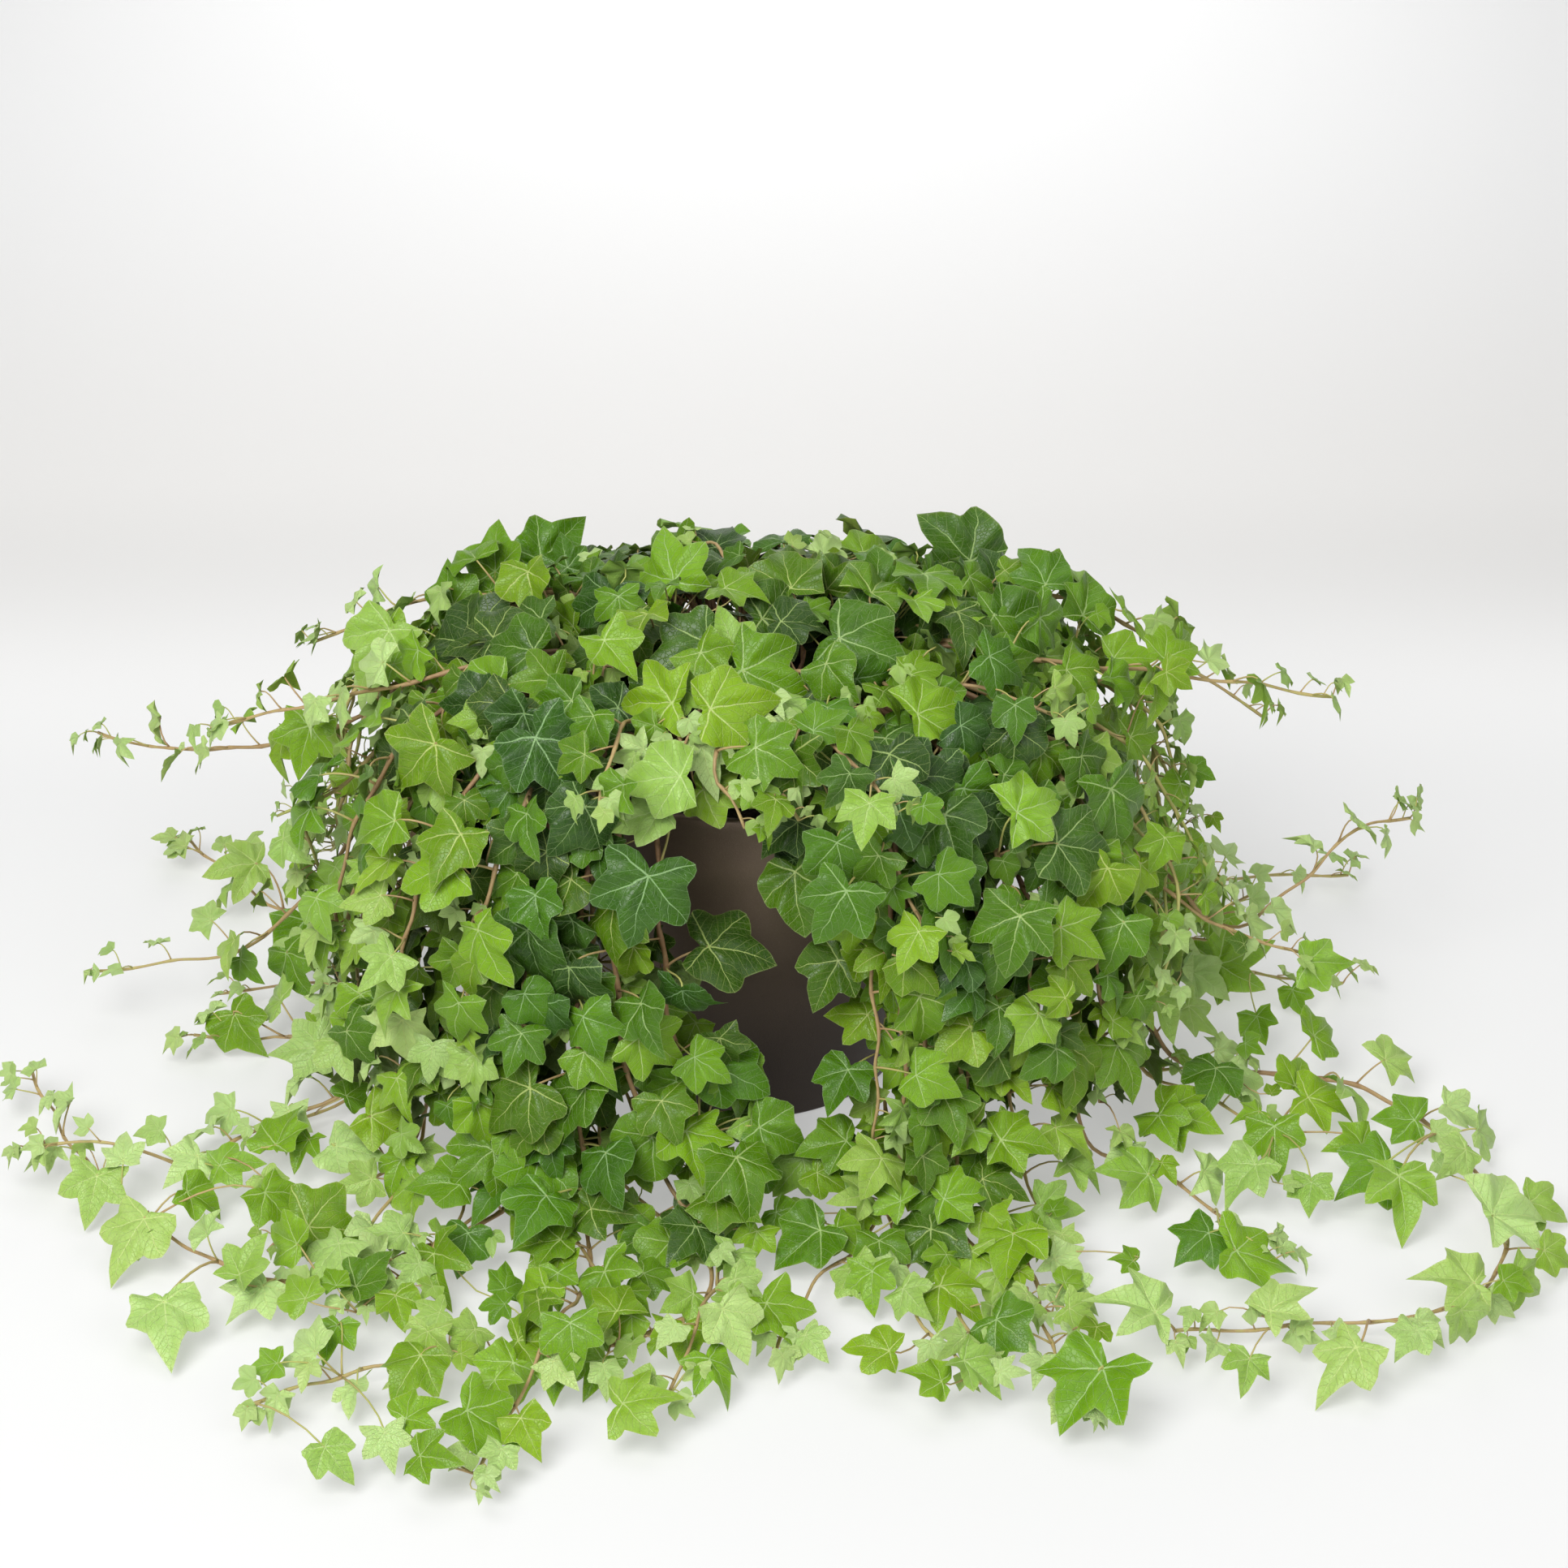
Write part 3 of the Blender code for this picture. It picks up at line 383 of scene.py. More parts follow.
# The same on the floor
FLOOR_LEAVES = (
    (122, 1447, -14, 64, 15), (182, 1498, -26, 84, 10), (202, 1604, 11, 91, 14), (297, 1568, 19, -57, 25),
    (379, 1511, 82, 0, 55), (327, 1471, 43, 51, 45), (270, 1436, 54, -13, 36), (231, 1468, 54, 17, 45),
    (341, 1410, -1, -70, 42), (381, 1404, -9, 44, 50), (413, 1412, 67, 38, 12), (457, 1375, 61, 39, 18),
    (327, 1450, 32, 39, 12), (377, 1600, -33, -40, 30), (416, 1582, -11, -34, 45), (438, 1586, 28, -56, 70),
    (388, 1664, -50, -35, 3), (416, 1632, -7, 51, 50), (341, 1679, -39, 7, 40), (400, 1782, 36, 47, 25),
    (475, 1764, 13, 52, 8), (488, 1596, 11, 49, 40), (427, 1350, 27, -32, 60), (104, 1410, 4, 24, 12),
    (143, 1418, 31, 8, 20), (664, 1428, -19, 89, 60), (720, 1470, -30, 50, 50), (691, 1527, -65, 10, 60),
    (688, 1568, 6, 50, 50), (775, 1512, 55, 8, 46), (763, 1608, -25, -52, 50), (794, 1568, 48, 22, 60),
    (638, 1653, 69, 9, 45), (520, 1667, -21, 71, 50), (501, 1747, 44, -33, 42), (578, 1736, 68, 45, 50),
    (642, 1747, 25, 51, 30), (610, 1699, 26, 42, 35), (767, 1729, 75, -5, 28), (744, 1683, 3, 41, 8),
    (519, 1791, 58, 16, 50), (590, 1836, 22, 4, 5), (543, 1616, -43, 24, 18), (533, 1584, -16, 22, 25),
    (568, 1667, 28, 17, 25), (622, 1606, -36, -4, 62), (622, 1587, 16, -38, 60), (539, 1517, 21, -17, 30),
    (606, 1520, 4, 30, 25), (766, 1399, -36, 29, 10), (850, 1455, 12, 34, 25), (858, 1507, -36, 53, 90),
    (651, 1625, 30, 8, 35), (753, 1645, -20, 13, 15), (810, 1651, 10, 22, 40), (944, 1602, 27, 72, 45),
    (874, 1672, 16, 61, 45), (1075, 1565, 6, 55, 40), (1158, 1586, 47, 59, 40), (1147, 1511, 49, 47, 82),
    (1147, 1511, -55, 49, 82), (1161, 1472, 60, -15, 45), (1228, 1625, 50, 43, 70), (1255, 1565, 1, 32, 35),
    (1274, 1520, -60, 16, 45), (1187, 1675, 47, 45, 28), (1096, 1664, -58, -19, 35),
    (1160, 1702, -49, -16, 40), (1006, 1444, 43, 29, 40), (1042, 1406, -64, 16, 55),
    (892, 1476, 42, -16, 40), (885, 1441, 40, -7, 45), (888, 1536, 18, 22, 12), (933, 1517, -13, 42, 35),
    (1010, 1515, -54, 52, 72), (1064, 1495, 6, 39, 35), (1108, 1473, -41, -33, 40),
    (1112, 1457, 38, 26, 40), (1198, 1390, -27, 33, 30), (911, 1600, 29, 4, 50), (1355, 1681, -38, 92, 55),
    (1671, 1665, -43, 77, 10), (1745, 1638, -23, 50, 14), (1834, 1495, 88, -28, 8),
    (1539, 1674, -16, 53, 25), (1561, 1612, 52, -49, 6), (1422, 1616, -82, -24, 12),
    (1351, 1634, -14, 32, 50), (1815, 1580, -79, -8, 10), (1850, 1576, 37, 14, 45),
    (1707, 1432, -58, 51, 60), (1742, 1380, -52, -8, 55), (1570, 1388, 9, 68, 50), (1436, 1370, 67, 28, 40),
    (1427, 1374, 22, 46, 45), (1543, 1432, -35, 55, 22), (1615, 1455, -2, 45, 30), (1678, 1410, -50, 9, 40),
    (1595, 1338, 27, -47, 35), (1490, 1518, -39, 47, 75), (1521, 1540, 85, 13, 40),
    (1494, 1312, -18, 63, 75), (1414, 1446, -68, 2, 35), (1431, 1432, 14, 31, 35), (1378, 1392, 4, 38, 12),
    (1610, 1352, 63, 22, 32), (1566, 1347, 9, -20, 45), (1767, 1392, 33, 5, 6), (1772, 1432, 36, 12, 12),
    (1722, 1459, -6, 86, 30), (1499, 1616, -25, 24, 6), (1606, 1634, 7, 22, 5), (1311, 1580, 22, -28, 35),
    (1297, 1491, 9, -25, 55), (1396, 1553, -32, -4, 50), (1239, 1401, 67, 9, 33), (1552, 1370, -32, 18, 35),
    (1584, 1459, 24, 0, 12), (1231, 1403, 75, 5, 35),
)
# Degrees by which the last two groups are turned up. Every single leaf faces partly out and mostly to
# the camera, give or take its own turn, which is looser in those two groups. A try moves it towards
# the camera by an offset, and across the view too once all of these have been tried.
FACE_SPOTS = {row[:2] for row in FACE_LEAVES}
SIDE_TURN = 5
FLOOR_TURN = 32
FACE_MIX = (0.25, 0.85)
FACE_SPREAD = (0.34, 0.20)
LOOSE_FACE = 1.7
FACE_OFFSETS = (0.002, 0.007, -0.004, 0.012, 0.018, 0.025, 0.033, 0.042)
FACE_SHIFT = 0.007
FACE_TRIES = 32
# Off the floor, the share of its youth that a single leaf loses
RIPER = 0.14

# Vines whose leaves are all young, and by how much
YOUNG_VINES = {"front_spray": 0.62, "infill_hang_e": 0.30, "infill_hang_d": 0.30}
YOUNG_SHOOT = 0.22

# Finer outlines: lobes as above, with rounder flanks. Notches are deeper by the leaf's own draw and in
# young leaves, and side lobes are longer or shorter by up to these shares.
FINE_FIVE = ((0, 1.0), (29, 0.655), (53, 0.77), (87, 0.58), (116, 0.58), (180, 0.10))
FINE_SMALL = ((0, 1.0), (30, 0.61), (57, 0.75), (118, 0.49), (180, 0.10))
FINE_TINY = ((0, 1.0), (36, 0.58), (70, 0.76), (180, 0.12))
FINE_FIVE_LEAST = 0.017
FINE_SMALL_LEAST = 0.011
FINE_NOTCHES = (29, 30, 36, 87)
NOTCH_DEPTH = (0.05, 0.15)
OWN_LOBES = {53: 0.09, 57: 0.09, 70: 0.09, 116: 0.14, 118: 0.14}

# Finer blades of size 1: scallops and ripples round the edge, curl beyond a distance, as a fixed part
# and a part by draw, twist and fold by draw, and how round the lobes' edges are when new and by age
SCALLOP = 0.024
SCALLOPS = 11
RIPPLES = 6.3
CURL = (0.40, 0.55)
CURL_FROM = 0.35
TWIST = 0.30
FOLD = 0.20
ROUNDNESS = (0.30, 0.55)

# Petioles: radius as a fixed part and a part of the leaf's size, steps and sides for small and large
# leaves, and wood from root to blade. Stems: sides, wood at the root and its fall to the tip, and the
# swelling at each leaf
PETIOLE_THICKNESS = (0.00034, 0.0130)
PETIOLE_STEPS = (6, 8)
PETIOLE_SIDES = (5, 6)
PETIOLE_WOOD = (0.36, 0.08)
STEM_SIDES = 6
STEM_WOOD = 0.86
FRINGE_WOOD = 0.65
STEM_WOOD_FALL = 0.64
SWELLING = 0.30
SWELLING_LENGTH = 0.0026

# Leaf meshes by size: smallest size, lobes' stretches cut into this many steps, and the rings' reach
LEAF_DETAIL = (
    (0.036, 4, (0.34, 0.68, 1.0)),
    (0.026, 3, (0.36, 0.72, 1.0)),
    (0.015, 3, (0.45, 1.0)),
    (0.000, 2, (0.50, 1.0)),
)
TOP_FACE, UNDER_FACE, STEM_FACE = 0, 1, 2
LEAST_HEIGHT = 0.0004

# Painted shade: leaves darken from the first to the second of these depths under the mound's skin
PAINTED_SHADE_DEPTH = (0.005, 0.024)

# Studio lights: name, place, the point they face, width and power, and the even light all round
LIGHTS = (
    ("key_light", (-0.9, -1.65, 2.2), (0, 0, 0.15), 1.8, 66),
    ("fill_light", (1.7, -1.6, 1.7), (0, 0, 0.15), 2.2, 18),
    ("top_light", (0.0, 0.5, 3.0), (0, 0.3, 0), 2.2, 13),
    ("backdrop_light", (0.0, 2.2, 1.2), (0, 1.8, 0.1), 1.6, 12),
)
SKY_LIGHT = 0.20

# The paper: where it begins to turn up, the radius of its turn, and half its width
SWEEP_START = 0.9
SWEEP_RADIUS = 6.0
SWEEP_HALF = 9.0


def unit(vector):
    """The vector at length 1."""
    return vector / norm(vector)


def unit_rows(rows):
    """Each row at length 1."""
    return rows / norm(rows, axis=1)[:, None]


def smooth(value, low, high):
    """0 under low, 1 over high, and a smooth step between."""
    t = min(1.0, max(0.0, (value - low) / (high - low)))
    return t * t * (3 - 2 * t)


def polar(azimuth, radius, height):
    """A point from its azimuth in degrees, its distance from the axis and its height."""
    a = math.radians(azimuth)
    return np.array([radius * math.sin(a), -radius * math.cos(a), height])


def lengths_along(path):
    """The length of a path from its start to each of its points."""
    return np.concatenate([[0], np.cumsum(norm(np.diff(path, axis=0), axis=1))])


def spline(points, step):
    """A smooth curve through the points (Catmull-Rom), read off about every step of its length."""
    p = np.asarray(points, float)
    p = np.vstack([2 * p[0] - p[1], p, 2 * p[-1] - p[-2]])
    t = np.linspace(0, 1, 24, endpoint=False)[:, None]
    runs = []
    for a, b, c, d in zip(p[:-3], p[1:-2], p[2:-1], p[3:]):
        bend = (2 * a - 5 * b + 4 * c - d) * t**2
        runs.append(0.5 * (2 * b + (c - a) * t + bend + (3 * b - a - 3 * c + d) * t**3))
    curve = np.vstack(runs + [p[-2:-1]])
    length = lengths_along(curve)
    marks = np.linspace(0, length[-1], max(2, round(length[-1] / step) + 1))
    return np.stack([np.interp(marks, length, curve[:, axis]) for axis in range(3)], 1)


def vine_route(root_radius, lift, points, turn):
    """From the soil's surface straight up, over the rim, and on through the vine's own points, all of
    it turned round the planter's axis by a few degrees where it has to clear another vine."""
    azimuth = points[0][0]
    start = [(azimuth, root_radius, SOIL_TOP + 0.003)]
    if points[0][1] > RIM_RADIUS:
        start.append((azimuth, 0.5 * (root_radius + 0.104), 0.262 + lift))
        start.append((azimuth, 0.146, 0.272 + lift))
    return [polar(a + turn, radius, height) for a, radius, height in start + list(points)]


def vines():
    """Every vine of the frame as name, leaf size, root radius, lift over the rim and points."""
    rows = []
    for i, (name, size, lift, points) in enumerate(RUNNERS + SHOOTS + (FRONT_SPRAY,)):
        rows.append((name, size, (0.094, 0.076)[i % 2], lift, points))
    for name, size, azimuth, reach, end in CURTAINS:
        hang = ((azimuth, reach - 0.050, 0.262), (azimuth, reach, 0.170), (azimuth, reach + 0.004, end))
        rows.append((name, size, 0.058, 0.022, hang))
    for i in range(BACK_VINES):
        azimuth = BACK_FIRST + (BACK_LAST - BACK_FIRST) * i / (BACK_VINES - 1)
        reach = BACK_REACH[i % 2]
        hang = [(azimuth, 0.205, 0.250), (azimuth, 0.250, 0.130)]
        if i % 2 == 0:
            hang += [(azimuth, 0.282, 0.022), (azimuth + 4, 0.350, 0.012), (azimuth - 3, reach, 0.014)]
        else:
            hang += [(azimuth, reach, 0.060)]
        name = f"back_runner_{i // 2 + 1}" if i % 2 == 0 else f"back_curtain_{i // 2 + 1}"
        rows.append((name, 0.042, (0.092, 0.066)[i % 2], 0.004 + 0.010 * (i % 2), hang))
    for name, root_radius, first, count, reaches, heights in CROWN_RINGS:
        for i in range(count):
            azimuth = first + 360 * i / count
            low = 0.5 + 0.5 * math.cos(math.radians(azimuth - LOW_SIDE))
            reach = reaches[0] + low * (reaches[1] - reaches[0])
            height = heights[0] + low * (heights[1] - heights[0])
            arch = ((azimuth, root_radius + 0.25 * (reach - root_radius), height - 0.022),
                    (azimuth + 6, root_radius + 0.62 * (reach - root_radius), height + 0.008),
                    (azimuth + 12, reach, height - 0.012))
            rows.append((f"{name}_{i + 1}", 0.043, root_radius, 0, arch))
    return rows


def draw_each(random, *spans):
    """One draw from each span in turn."""
    return [random.uniform(*span) for span in spans]


def from_front(azimuth):
    """An azimuth as degrees from the front, between -180 and 180."""
    return (azimuth + 180) % 360 - 180


def infill_vines():
    """The finer vines between those of the frame, in the same form: a mound over the rim, curtains
    beside the planter, short runners on the floor, and arches over the soil."""
    random = np.random.default_rng(7)
    rows = [(name, size, (0.090, 0.070)[i % 2], lift, points)
            for i, (name, size, lift, points) in enumerate(FRONT_INFILL)]
    for i in range(MOUND_VINES):
        a = 360 * (i + 0.5) / MOUND_VINES + random.uniform(-4, 4)
        front = abs(from_front(a)) < FRONT_SECTOR
        reach = (0.172 if front else 0.236) + random.uniform(-0.01, 0.014)
        end = (0.262 if front else 0.196) + random.uniform(-0.02, 0.02)
        rows.append((f"mound_{i}", *draw_each(random, (0.030, 0.044), (0.05, 0.09), (0.0, 0.03)), (
            (a, 0.158, 0.288), (a + 3, 0.5 * (0.158 + reach), 0.5 * (0.300 + end)), (a + 6, reach, end))))
    for i in range(HANGING_VINES):
        a = 360 * i / HANGING_VINES + random.uniform(-4, 4)
        if -26 < from_front(a) < 32:
            continue
        reach = random.uniform(0.212, 0.262)
        rows.append((f"curtain_{i}", *draw_each(random, (0.028, 0.042), (0.06, 0.095), (0.0, 0.02)), (
            (a, 0.184, 0.256), (a + random.uniform(-4, 4), reach, 0.150),
            (a + random.uniform(-7, 7), reach + 0.012, random.uniform(0.035, 0.09)))))
    for i in range(SKIRT_VINES):
        a = 360 * (i + 0.5) / SKIRT_VINES + random.uniform(-4, 4)
        if -24 < from_front(a) < 28:
            continue
        reach, drift = draw_each(random, (0.31, 0.41), (-10, 10))
        rows.append((f"skirt_{i}", *draw_each(random, (0.028, 0.040), (0.06, 0.095), (0.0, 0.02)), (
            (a, 0.190, 0.246), (a, 0.232, 0.120), (a, 0.262, 0.022),
            (a + 0.5 * drift, 0.5 * (0.27 + reach), 0.013), (a + drift, reach, 0.013))))
    for i in range(FRINGE_VINES):
        a = (-1, 1)[i % 2] * random.uniform(58, 122)
        rows.append((f"fringe_{i}", *draw_each(random, (0.020, 0.030), (0.06, 0.095), (0.01, 0.04)), (
            (a, 0.200, 0.270), (a + random.uniform(-4, 4), 0.258, random.uniform(0.21, 0.25)),
            (a + random.uniform(-7, 7), *draw_each(random, (0.270, 0.295), (0.15, 0.20))),
            (a + random.uniform(-9, 9), *draw_each(random, (0.270, 0.320), (0.10, 0.16))))))
    for i in range(ARCH_VINES):
        a = 360 * i / ARCH_VINES + random.uniform(-8, 8)
        reach = random.uniform(0.08, 0.15)
        rows.append((f"arch_{i}", random.uniform(0.032, 0.042), 0.03, 0.0, (
            (a, 0.030 + 0.3 * (reach - 0.03), 0.286), (a + 8, 0.03 + 0.7 * (reach - 0.03), 0.316),
            (a + 16, reach, 0.300))))
    return rows


def lobes_of(size, draws):
    """The outline's lobes and notches for a leaf of this size, with its own depth of notch."""
    lobes = FIVE_LOBES if size > SMALL_LEAF else SMALL_LOBES if size > TINY_LEAF else TINY_LOBES
    return [(a, r - NOTCH_SPREAD * draws[0] * (a in NOTCHES)) for a, r in lobes]


def fine_lobes(size, draws, age):
    """The finer outline's lobes and notches: young leaves are cut a little deeper, and each leaf has its
    own length of side lobes."""
    lobes = FINE_FIVE if size > FINE_FIVE_LEAST else FINE_SMALL if size > FINE_SMALL_LEAST else FINE_TINY
    depth = NOTCH_DEPTH[0] * draws[0] + NOTCH_DEPTH[1] * (1 - age)
    wide = math.sin(37 * draws[9]) + 0.5 * age - 0.5
    return [(a, r * (1 + OWN_LOBES.get(a, 0.0) * wide) - depth * (a in FINE_NOTCHES)) for a, r in lobes]


def outline(size, draws):
    """The frame's own points round a leaf's edge in its plane: x across, y to the tip, z off the plane."""
    lobes = lobes_of(size, draws)
    angle = np.radians([-a for a, _ in reversed(lobes[1:])] + [a for a, _ in lobes[:-1]])
    reach = np.array([r for _, r in reversed(lobes[1:])] + [r for _, r in lobes[:-1]])
    reach = reach * (1 + 0.07 * draws[1] * np.sin(angle))
    return size * blade_surface(angle, reach, draws)


def blade_surface(angle, reach, draws):
    """Places on a blade of size 1 at these angles and distances from the petiole's point. The blade
    droops with the square of the distance, folds up along its midrib, and waves three times round."""
    droop = 0.16 + 0.10 * draws[2]
    fold = 0.16 + 0.14 * draws[3]
    wave = 0.05 * np.cos(3 * angle + 3 * draws[4])
    x, y = reach * np.sin(angle), reach * np.cos(angle)
    return np.stack([x, y, -droop * reach**2 + fold * np.abs(x) + wave * reach], -1)


def blade_axes(fall, normal):
    """A blade's axes, across, to the tip and its normal, with its tip where it would fall."""
    tip = unit(fall - normal * (fall @ normal))
    return np.stack([np.cross(tip, normal), tip, normal])


def leaf_pose(stem_point, along, side, size, draws, looseness=1.0):
    """The petiole's point on the blade, and the blade's axes: across, to the tip, and its normal.
    Leaves on the mound face outwards with their tips down; leaves on the floor face up and lean out."""
    low = 1 - smooth(stem_point[2], 0.03, 0.15)
    radial = unit(stem_point * (1, 1, 0) + 1e-6)
    top = (1 - low) * (1 - smooth(np.hypot(stem_point[0], stem_point[1]), 0.10, 0.25))
    mound_face = (1 - 0.6 * top) * radial + (0.70 + 0.1 * top) * UP + (0, (-0.26 - 0.30 * top) / looseness, 0)
    face = unit((1 - low) * mound_face + low * (UP + 0.45 * radial + (0, -0.25, 0)))
    across = side * unit(np.cross(along, face) + 1e-6)
    leave = unit(0.62 * face + (0.50 + 0.20 * draws[5]) * across + 0.25 * along)
    blade_point = stem_point + (0.66 + 0.16 * draws[6]) * size * leave + 0.006 * leave
    normal = unit(face + looseness * (0.58 * draws[7] * across + 0.46 * draws[8] * along))
    fall = max(low, top) * radial - (1 - low - 0.6 * top) * UP + (0.50 + 0.75 * draws[9]) * across
    return blade_point, blade_axes(fall, normal)


def leaf_test(size, draws, blade_point, axes, stem_point, edge, half):
    """The frame's own leaf as points and faces, to keep leaves apart: a lobed lens and its petiole."""
    local = outline(size, draws)
    rim = blade_point + edge * local @ axes
    count = len(rim)
    turn = np.radians([60, 180, 300])
    collar = blade_point - half * axes[2] + PETIOLE_RADIUS * (
        np.outer(np.sin(turn), axes[0]) + np.outer(np.cos(turn), axes[1]))
    run = unit(stem_point - blade_point)
    first = unit(axes[1] - run * (run @ axes[1]))
    second = np.cross(run, first)
    ring = np.outer(np.cos(turn), first) + np.outer(np.sin(turn), second)
    root = stem_point + 0.85 * PETIOLE_RADIUS * ring
    points = np.vstack([rim, blade_point + half * axes[2], collar, root])
    top, low, end = count, count + 1, count + 4
    bearing = np.degrees(np.arctan2(local[:, 0], local[:, 1])) % 360
    nearest = [int(b // 120) for b in bearing]
    faces = []
    for i in range(count):
        j = (i + 1) % count
        faces.append((top, j, i))
        faces.append((low + nearest[i], i, j))
        if nearest[i] != nearest[j]:
            faces.append((low + nearest[i], j, low + nearest[j]))
    for i in range(3):
        j = (i + 1) % 3
        faces.append((low + i, low + j, end + j))
        faces.append((low + i, end + j, end + i))
    faces.append((end, end + 1, end + 2))
    return points, faces


def wall_faces(count, rows):
    """Quads between neighbouring columns of this many points, all round."""
    starts = [(i * rows + k, (i + 1) % count * rows + k) for i in range(count) for k in range(rows - 1)]
    return [(a, b, b + 1, a + 1) for a, b in starts]


def tube_test(path, radius):
    """A plain four-sided tube round a path, used only to keep pieces apart."""
    along = unit_rows(np.gradient(path, axis=0))
    first = unit_rows(np.cross(along, (0.31, 0.52, 0.79)))
    second = np.cross(along, first)
    points = np.concatenate([path + radius * side for side in (first, second, -first, -second)])
    return points, wall_faces(4, len(path))


def planter_test():
    """The planter and soil as one plain turned surface, a little larger, to keep leaves off them."""
    profile = [(0.0, SOIL_TOP + SOIL_CROWN + 0.002), (RIM_RADIUS - WALL - 0.002, SOIL_TOP + 0.002),
               (RIM_RADIUS - WALL - 0.002, POT_HEIGHT + 0.002), (RIM_RADIUS + 0.002, POT_HEIGHT + 0.002),
               (FOOT_RADIUS + 0.002, 0.0)]
    count = 32
    points = np.array([polar(360 * i / count, r, z) for i in range(count) for r, z in profile])
    return points, wall_faces(count, len(profile))


def tree_of(mesh):
    """A search tree of a mesh given as points and faces, for tests of overlap."""
    points, faces = mesh
    return BVHTree.FromPolygons([tuple(p) for p in points], faces)


def in_bare_window(points, share_of_width=1.0):
    """Whether any point hides the band of the planter that stays bare. Each point is moved along the
    view's direction, down and back, to the planter's front, and its distance from the band measured."""
    height = points[:, 2] - (FRONT_FACE_Y - points[:, 1]) * VIEW_SLOPE
    flat = np.stack([points[:, 0], height], 1)
    span = BARE_END - BARE_START
    share = np.clip((flat - BARE_START) @ span / (span @ span), 0, 1)
    away = norm(flat - BARE_START - share[:, None] * span, axis=1)
    return bool(((away < share_of_width * BARE_HALF_WIDTH) & (points[:, 1] < BARE_BEHIND_Y)).any())


def plant_of(name, size, root_radius, lift, points, seed, others, needs_way):
    """One vine's stem, turned round the axis until it clears the other stems."""
    for turn in STEM_TURNS:
        route = vine_route(root_radius, lift, points, turn)
        path = spline(route, STEM_STEP)
        root = path[0] * (1, 1, 0) + UP * (SOIL_TOP - HOLE_DEPTH + GAP)
        stem = np.vstack([root, path])
        tree = tree_of(tube_test(stem, STEM_RADIUS + TEST_STEM_GROWTH))
        if not any(tree.overlap(other["tree"]) for other in others):
            break
    else:
        if needs_way:
            raise ValueError(name + " crosses another stem")
    return {"name": name, "size": size, "path": path, "stem": stem, "leaves": [], "route": route,
            "random": np.random.default_rng(seed), "tree": tree,
            "youth": np.random.default_rng(seed + 5000).uniform(-0.10, 0.16)}


class Crowd:
    """Everything that a new leaf has to clear: placed leaves with their centres and reaches."""

    def __init__(self):
        self.centres = [np.zeros(3)]
        self.reaches = [1.0]
        self.trees = [tree_of(planter_test())]

    def add(self, centre, reach, tree):
        self.centres.append(centre)
        self.reaches.append(reach)
        self.trees.append(tree)

    def hit(self, centre, reach, tree):
        away = norm(np.array(self.centres) - centre, axis=1)
        near = np.flatnonzero(away < np.array(self.reaches) + reach)
        return any(tree.overlap(self.trees[k]) for k in near)


def stations(plants, pitch, start):
    """Where leaves leave their stems, from each stem's end towards its root, in rounds over all vines."""
    waiting = []
    for plant in plants:
        path = plant["path"]
        length = lengths_along(path)
        marks = np.arange(length[-1] - start, ROOT_TO_FIRST_LEAF, -pitch)
        for order, mark in enumerate(marks):
            waiting.append((order, plant, mark / length[-1], mark, length))
    waiting.sort(key=lambda row: row[0])
    return waiting


def place_on_stem(path, length, mark):
    """The stem's direction, and its point at this length from its start."""
    at = min(int(np.searchsorted(length, mark, side="right")) - 1, len(path) - 2)
    along = unit(path[at + 1] - path[at])
    return along, path[at] + along * min(mark - length[at], (length[at + 1] - length[at]) * 0.98)


def size_along(plant, share, sizes):
    """A leaf's size at this share of the way along its vine."""
    return LEAF_SCALE * plant["size"] * np.interp(share, *sizes)


def from_behind(point, stem_point, normal, least):
    """Whether a petiole comes up from behind its blade, by at least this share of its length."""
    way = point - stem_point
    return way @ normal >= least * norm(way)


def set_leaves(waiting, plants, crowd, growth, half):
    """Puts a leaf at each station where one of a few tries clears the planter, the floor, the bare band
    and all other stems and leaves."""
    for order, plant, share, mark, length in waiting:
        along, stem_point = place_on_stem(plant["path"], length, mark)
        size = size_along(plant, share, SIZES_ALONG)
        for attempt in range(LEAF_TRIES):
            draws = plant["random"].uniform(-1, 1, 11)
            if attempt >= WILD_FROM:
                draws[5:10] *= WILD
            side = 1 if (order + attempt) % 2 else -1
            this = size * (1 + SIZE_SPREAD * draws[10]) * (1 - TRY_SHRINK * attempt)
            point, axes = leaf_pose(stem_point, along, side, this, draws)
            rim = point + outline(this, draws) @ axes
            point = point + UP * max(0, FLOOR_CLEARANCE - rim[:, 2].min())
            if not from_behind(point, stem_point, axes[2], BEHIND):
                continue
            rim = point + outline(this, draws) @ axes
            if in_bare_window(rim):
                continue
            test = tree_of(leaf_test(this, draws, point, axes, stem_point, growth, half))
            if crowd.hit(point, 1.1 * this, test):
                continue
            if any(other is not plant and test.overlap(other["tree"]) for other in plants):
                continue
            blade = tree_of((np.vstack([rim, point + 0.003 * axes[2]]),
                             [(len(rim), (i + 1) % len(rim), i) for i in range(len(rim))]))
            if blade.overlap(plant["tree"]):
                continue
            age = age_of(plant, point, share, draws[6])
            plant["leaves"].append((this, draws, point, axes, stem_point, share, age))
            crowd.add(point, 1.8 * this, test)
            break


def blade_test(rim, blade_point, normal):
    """A finer leaf's blade as a thin lens a little inside its edge, to keep blades apart."""
    edge = blade_point + FINE_GROWTH * (rim - blade_point)
    count = len(edge)
    half = FINE_HALF_THICKNESS * normal
    points = np.vstack([edge, blade_point + half, blade_point - half])
    faces = [(count + k, i, (i + 1) % count) for k in (0, 1) for i in range(count)]
    return tree_of((points, faces))


def over_line(points, line):
    """True where the camera sees any of the points above this row of the photograph."""
    eye, _, up, back = camera_axes()
    way = points - eye
    return (way @ up / -(way @ back)).max() > (IMAGE_SIDE / 2 - line) / FOCAL


